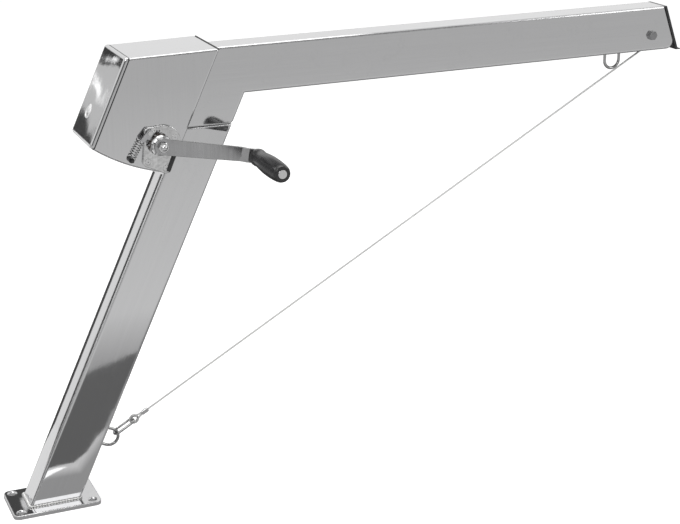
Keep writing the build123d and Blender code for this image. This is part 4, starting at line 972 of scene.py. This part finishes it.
@dataclass
class GripSleeve:
    """Hand grip of the crank: a full, slightly waisted sleeve with a recess for the spindle's head.

    The outline is distances from the crank arm, with the radius at each.
    """

    centre: Vector = at(0.400048, 0, 0.671897)
    start: float = -0.0973
    bore: float = 0.0066
    recess: float = 0.0092
    recess_depth: float = 0.004
    outline: tuple[tuple[float, float], ...] = (
        (0.0, 0.0136), (0.0006, 0.0146), (0.0022, 0.0156), (0.0060, 0.0165), (0.0110, 0.0167),
        (0.0150, 0.0164), (0.0185, 0.0160), (0.0240, 0.0157), (0.0300, 0.0160), (0.0400, 0.0169),
        (0.0520, 0.0178), (0.0640, 0.0184), (0.0760, 0.0187), (0.0880, 0.0187), (0.1000, 0.0184),
        (0.1120, 0.0178), (0.1210, 0.0171), (0.1265, 0.0163), (0.1300, 0.0151), (0.1316, 0.0137),
        (0.1320, 0.0122))
    sides: int = 72

    def build(self) -> None:
        """Turn the sleeve, which stands for the plain grip."""
        length = self.outline[-1][0]
        inside = ((length, self.recess), (length - self.recess_depth, self.recess),
                  (length - self.recess_depth, self.bore), (0.0, self.bore))
        profile = [self.centre + Vector((radius, self.start - along, 0))
                   for along, radius in self.outline + inside]
        sleeve = turned(profile, self.centre, ACROSS, self.sides)
        piece = new_piece("grip_sleeve", sleeve, GRIP_BLACK, "grip_body")
        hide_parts("grip")


@dataclass
class LockBezel:
    """Raised ring round the coin lock of the rear cover.

    The outline is radii about the lock, with the rise over the cover at each.
    """

    centre: Vector = at(0.1200, 0.024, 0.7560)
    outline: tuple[tuple[float, float], ...] = (
        (0.0094, -0.0004), (0.0094, 0.0026), (0.0098, 0.0031), (0.0106, 0.0033), (0.0114, 0.0030),
        (0.0120, 0.0022), (0.0123, 0.0012), (0.0124, -0.0004))
    sides: int = 48

    def build(self) -> None:
        """Turn the ring about the lock's axis."""
        profile = [self.centre + ACROSS * radius - AHEAD * rise for radius, rise in self.outline]
        ring = turned(profile, self.centre, AHEAD, self.sides)
        new_piece("lock_bezel", ring, SATIN_CHROME, "frame_body")


@dataclass
class EdgeBar:
    """A rounded black bar along the front edge of the hub bracket."""

    low: Vector = at(0.2392, -0.0630, 0.6530)
    high: Vector = at(0.2542, -0.0630, 0.6890)
    width: float = 0.0092
    depth: float = 0.0076
    rounding: float = 0.0018
    rounding_steps: int = 4

    def build(self) -> None:
        """Shape a rounded bar and lean it along the bracket's edge."""
        run = self.high - self.low
        mesh = bmesh.new()
        bmesh.ops.create_cube(mesh, size=1.0)
        bmesh.ops.scale(mesh, vec=(self.width, self.depth, run.length), verts=mesh.verts)
        bmesh.ops.bevel(mesh, geom=mesh.edges[:], offset=self.rounding, affect="EDGES",
                        segments=self.rounding_steps, profile=0.5, material=-1)
        turn = run.to_track_quat("Z", "Y").to_matrix().to_4x4()
        place = Matrix.Translation((self.low + self.high) / 2) @ turn
        bmesh.ops.transform(mesh, matrix=place, verts=mesh.verts)
        new_piece("edge_bar", mesh, NYLON_BLACK, "frame_body")


# Frame


@dataclass
class FrameTrim:
    """Weld round the column's foot, and the seals at the housing's rear cover and over the arm."""

    foot_length: float = 0.0995
    foot_width: float = 0.0605
    foot_height: float = 0.0088
    weld_radius: float = 0.0032
    weld_scales: float = 0.00035
    seal_radius: float = 0.0013
    seal_step: float = 0.002
    seal_corner: float = 0.008
    seal_inset: float = 0.0010
    cover_middle: Vector = at(0.140923, 0.0086, 0.785828)
    cover_height: float = 0.1765
    cover_width: float = 0.138
    roof_front: float = 0.3451
    roof_top: float = 0.8692
    roof_sides: tuple[float, ...] = (-0.0585, -0.02, 0.03, 0.0765)

    def build(self) -> None:
        """Make the weld and the seals."""
        foot = [Vector((x * self.foot_length / 2, y * self.foot_width / 2, self.foot_height))
                for x, y in RECTANGLE]
        Bead("foot_weld", foot, UP, WELD, self.weld_radius, scale_height=self.weld_scales).build("frame_body")
        up = ALONG_COLUMN * (self.cover_height / 2 - self.seal_inset)
        side = ACROSS * (self.cover_width / 2 - self.seal_inset)
        cover = [self.cover_middle + up * u + side * v for u, v in RECTANGLE]
        Bead("cover_seal", cover, AHEAD, NYLON_BLACK, self.seal_radius, self.seal_step,
             self.seal_corner).build("frame_body")
        roof = [Vector((self.roof_front, y, self.roof_top)) for y in self.roof_sides]
        Bead("roof_seal", roof, UP, NYLON_BLACK, self.seal_radius, self.seal_step,
             closed=False).build("frame_body")


class CadDress:
    """Finishes of the CAD nodes that stay."""

    by_slot: ClassVar[dict[Slot, Finish]] = {
        Slot.POLISHED: POLISHED_FITTING, Slot.PLAIN: MACHINED, Slot.ROPE: MACHINED, Slot.BRONZE: BRONZE,
        Slot.LINING: LINING, Slot.GRIP: GRIP_BLACK, Slot.NYLON: NYLON_BLACK,
    }
    by_node: ClassVar[dict[str, Finish]] = {
        "base_plate": POLISHED, "column": POLISHED_COLUMN, "arm": POLISHED_ARM, "winch_housing": POLISHED,
        "rear_cover": POLISHED_COVER, "crank_arm": CRANK_STEEL, "hub_bracket": POLISHED_CASTING,
        "arm_eye": BENT_ROD, "column_eye": BENT_ROD, "snap_hook": BENT_ROD, "sheave_bolt": BOLT_STEEL,
        "cover_lock": SATIN_CHROME,
    }

    def apply(self, frame: dict) -> None:
        """Give every CAD node its finish.
        """
        slots = {row["node"]: Slot(row["material_slot"]) for row in frame["record"]["subparts"]}
        for name, node in frame["nodes"].items():
            finish = self.by_node.get(name, self.by_slot[slots[name]])
            node.data.materials.clear()
            node.data.materials.append(finish.material())
            log.info("%s wears %s", name, finish.name)


# Studio


@dataclass(frozen=True)
class Floor:
    """A pale floor that keeps the object's shadow, in soft grey steps where gloss sees it."""

    size: float = 40.0
    colour: tuple[float, float, float] = (0.84, 0.84, 0.84)
    roughness: float = 0.9
    glow: float = 0.45
    far_front: Ramp = (-3.6, -1.1, 0.60, 0.80)
    front: Ramp = (-0.98, -0.70, 1.0, 0.64)
    slant: Ramp = (0.08, 1.08, 0.0, 1.52)
    under: Ramp = (-0.185, -0.148, 0.92, 0.46)
    behind: Ramp = (0.4, 2.0, 0.9, 1.6)
    front_ends: tuple[float, float] = (-0.36, -0.30)

    def build(self) -> None:
        """Lay the floor and dress it."""
        made, graph, shader = start_material("pale_floor")
        graph.preset(shader, {"Roughness": self.roughness, "Emission Color": WHITE})
        split = graph.add("SeparateXYZ")
        graph.join(graph.add("TexCoord").outputs["Object"], split.inputs["Vector"])
        x, y, _ = split.outputs
        gloss, direct = graph.rays()
        front = graph.math("MULTIPLY", graph.spread(y, *self.far_front), graph.spread(y, *self.front))
        slanted = graph.math("ADD", y, graph.spread(x, *self.slant))
        behind = graph.math("MULTIPLY", graph.spread(slanted, *self.under), graph.spread(y, *self.behind))
        tone = graph.crossfade(y, self.front_ends, front, behind)
        graph.join(graph.blend(gloss, self.colour, BLACK[:3]), shader.inputs["Base Color"])
        seen, mirrored = graph.math("MULTIPLY", direct, self.glow), graph.math("MULTIPLY", gloss, tone)
        graph.join(graph.math("ADD", seen, mirrored), shader.inputs["Emission Strength"])
        mesh = bmesh.new()
        bmesh.ops.create_grid(mesh, x_segments=1, y_segments=1, size=self.size / 2)
        show("floor", mesh, made)


@dataclass(frozen=True)
class Surroundings:
    """Even light from all round, white where it is seen, with a darker front and horizon for gloss.

    The ramps run over a direction's X or Z, and the last pair over its Y.
    """

    ambient: float = 0.62
    back_left: Ramp = (-0.6, -0.45, 0.12, 0.34)
    back_high: Ramp = (0.10, 0.15, 0.0, 1.0)
    strip_rise: Ramp = (0.34, 0.38, 0.0, 1.0)
    strip_fall: Ramp = (0.52, 0.56, 0.9, 0.0)
    front_low: Ramp = (0.11, 0.17, 0.62, 0.10)
    overhead: Ramp = (0.80, 0.88, 0.10, 1.0)
    front_ends: tuple[float, float] = (-0.30, -0.10)

    def build(self) -> None:
        """Make the world's light."""
        world = bpy.data.worlds.new("studio")
        world.use_nodes = True
        bpy.context.scene.world = world
        graph = Graph(world.node_tree)
        background = graph.preset(world.node_tree.nodes["Background"], {"Color": WHITE})
        split = graph.add("SeparateXYZ")
        graph.join(graph.add("TexCoord").outputs["Generated"], split.inputs["Vector"])
        x, y, z = split.outputs
        gloss, direct = graph.rays()
        back = graph.math("MAXIMUM", graph.spread(x, *self.back_left), graph.spread(z, *self.back_high))
        front = graph.math("MULTIPLY", graph.spread(z, *self.strip_rise), graph.spread(z, *self.strip_fall))
        for tone in (self.front_low, self.overhead):
            front = graph.math("MAXIMUM", front, graph.spread(z, *tone))
        studio = graph.crossfade(y, self.front_ends, front, back)
        plain = graph.math("MAXIMUM", direct, graph.spread(gloss, 0.0, 1.0, self.ambient, 0.0))
        mirrored = graph.math("MULTIPLY", gloss, studio)
        graph.join(graph.math("MAXIMUM", plain, mirrored), background.inputs["Strength"])


@dataclass(frozen=True)
class Lamp:
    """A soft rectangular lamp aimed at the davit."""

    name: str
    place: tuple[float, float, float]
    aim: tuple[float, float, float]
    width: float
    height: float
    power: float

    def build(self) -> None:
        """Hang the lamp and aim it."""
        data = bpy.data.lights.new(self.name, "AREA")
        data.shape = "RECTANGLE"
        data.size, data.size_y, data.energy = self.width, self.height, self.power
        made = put_in_scene(self.name, data)
        made.location = self.place
        made.rotation_euler = (Vector(self.aim) - Vector(self.place)).to_track_quat("-Z", "Y").to_euler()


@dataclass(frozen=True)
class Card:
    """A flat card that only gloss sees, as a studio sets round polished metal to draw its shape.

    Its corners are X and Y on the floor or, where it has a wall at some Y, X and Z on that wall.
    """

    LIFT = 0.002
    UNSEEN_BY = ("camera", "diffuse", "transmission", "volume_scatter", "shadow")

    name: str
    corners: tuple[tuple[float, float], ...]
    shade: float
    wall: float | None = None

    def places(self) -> list[Vector]:
        """Give the corners.

        Returns:
            A place for each corner, just over the floor or on the wall.
        """
        if self.wall is None:
            return [Vector((x, y, self.LIFT)) for x, y in self.corners]
        return [Vector((x, self.wall, z)) for x, z in self.corners]

    def build(self) -> None:
        """Set the card where only gloss sees it."""
        mesh = bmesh.new()
        bmesh.ops.contextual_create(mesh, geom=[mesh.verts.new(place) for place in self.places()])
        made, graph, shader = start_material(self.name)
        graph.preset(shader, {"Base Color": BLACK, "Roughness": 1.0, "Emission Color": WHITE,
                              "Emission Strength": self.shade})
        shown = show(self.name, mesh, made)
        for ray in self.UNSEEN_BY:
            setattr(shown, "visible_" + ray, False)


@dataclass
class Viewpoint:
    """The camera, at the photograph's angle."""

    place: Vector = at(-0.55115, -2.69575, 1.43073)
    yaw: float = math.radians(23.28)
    pitch: float = math.radians(19.25)
    lens: float = 82.1
    sensor: float = 36.0
    reach: float = 100.0

    def build(self) -> None:
        """Place the camera and make it the scene's."""
        data = bpy.data.cameras.new("camera")
        data.sensor_fit = "HORIZONTAL"
        data.sensor_width, data.lens, data.clip_end = self.sensor, self.lens, self.reach
        camera = put_in_scene("camera", data)
        camera.location = self.place
        camera.rotation_euler = (math.pi / 2 - self.pitch, 0, -self.yaw)
        bpy.context.scene.camera = camera


@dataclass
class Studio:
    """Floor, surroundings, lamps, cards and the camera."""

    lamps: tuple[Lamp, ...] = (
        Lamp("key", (-2.4, -2.6, 3.6), aim=(0.4, 0.0, 0.4), width=2.0, height=2.0, power=55),
        Lamp("top", (0.6, 0.4, 4.2), aim=(0.6, 0.0, 0.4), width=3.0, height=2.4, power=60),
        Lamp("fill", (3.0, -1.8, 2.2), aim=(0.5, 0.0, 0.5), width=1.4, height=1.4, power=18),
    )
    cards: tuple[Card, ...] = (
        Card("front_dark", ((-0.30, -0.185), (0.018, -0.191), (0.048, -0.197), (0.077, -0.198),
                            (0.114, -0.236), (0.149, -0.294), (0.181, -0.338), (0.215, -0.409),
                            (0.30, -0.50), (0.60, -0.62), (0.75, -0.84), (0.383, -0.723),
                            (0.337, -0.702), (0.30, -0.678), (0.26, -0.662), (0.21, -0.632),
                            (-0.30, -0.50)), shade=0.15),
        Card("foot_light", ((-0.004, -0.152), (0.004, -0.150), (0.026, -0.166), (0.060, -0.185),
                            (0.040, -0.187), (0.012, -0.178)), shade=1.8),
        Card("left_light", ((-0.70, 0.06), (-0.06, 0.06), (-0.06, 1.0), (-0.70, 1.0)), shade=1.0),
        Card("post_light", ((-0.70, 0.0), (-0.12, 0.0), (-0.12, 0.70), (-0.70, 0.70)), shade=1.0, wall=1.0),
        Card("base_dark", ((-0.055, 0.10), (0.035, 0.10), (0.035, 0.225), (-0.03, 0.225),
                           (-0.055, 0.15)), shade=0.08, wall=0.3),
        Card("under_arm", ((-0.06, 0.12), (0.42, 0.12), (0.42, -0.28), (2.3, -0.28), (2.3, 1.9),
                           (-0.06, 1.9)), shade=0.08),
        Card("strip_light", ((0.80, 2.92), (1.88, 2.92), (1.88, 3.76), (0.80, 3.76)), shade=2.4, wall=-6.54),
        Card("base_patch", ((-0.009, 0.154), (0.005, 0.154), (0.008, 0.172), (0.001, 0.187), (-0.007, 0.171)),
             shade=0.85, wall=0.29),
        Card("post_far_edge", ((-0.0415, 0.0283), (0.2343, 0.6280), (0.2245, 0.6325), (0.0030, 0.1510)),
             shade=0.08, wall=0.045),
        Card("post_near_edge", ((-0.0753, 0.0219), (-0.0121, 0.1469), (0.2136, 0.6375), (0.2088, 0.6397)),
             shade=0.08, wall=0.045),
        Card("crank_back", ((0.217, 0.699), (0.412, 0.652), (0.419, 0.684), (0.224, 0.731)),
             shade=0.70, wall=-0.083),
        Card("cover_middle", ((-0.60, 0.69), (-0.10, 0.69), (-0.10, 1.05), (-0.60, 1.05)),
             shade=0.70, wall=1.32),
        Card("cover_top", ((-0.19, 0.935), (-0.19, 0.99), (-0.34, 1.0), (-0.32, 0.945), (-0.285, 0.925),
                           (-0.267, 0.905), (-0.235, 0.912)), shade=0.05, wall=1.3),
        Card("cover_low", ((-0.27, 0.80), (-0.317, 0.785), (-0.359, 0.765), (-0.40, 0.735), (-0.43, 0.705),
                           (-0.43, 0.69), (-0.27, 0.69)), shade=0.06, wall=1.3),
        Card("cover_streak", ((-0.247, 0.885), (-0.282, 0.859), (-0.312, 0.857), (-0.343, 0.82),
                              (-0.316, 0.835), (-0.28, 0.85)), shade=1.9, wall=1.3),
        Card("cover_glint", ((-0.258, 0.927), (-0.266, 0.946), (-0.28, 0.941), (-0.272, 0.918)),
             shade=1.6, wall=1.29),
    )

    def build(self) -> None:
        """Set up everything round the object."""
        for thing in (Floor(), Surroundings(), *self.lamps, *self.cards, Viewpoint()):
            thing.build()
        bpy.context.scene.view_settings.view_transform = "Standard"


def main() -> None:
    """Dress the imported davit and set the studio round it."""
    logging.basicConfig(level=logging.INFO, format="%(name)s: %(message)s")
    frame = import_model()
    CadDress().apply(frame)
    for part in (HoistLine, DrumWinding, PawlSpring, GripSleeve, LockBezel, EdgeBar, FrameTrim):
        part().build()
    Studio().build()


if __name__ == "__main__":
    main()
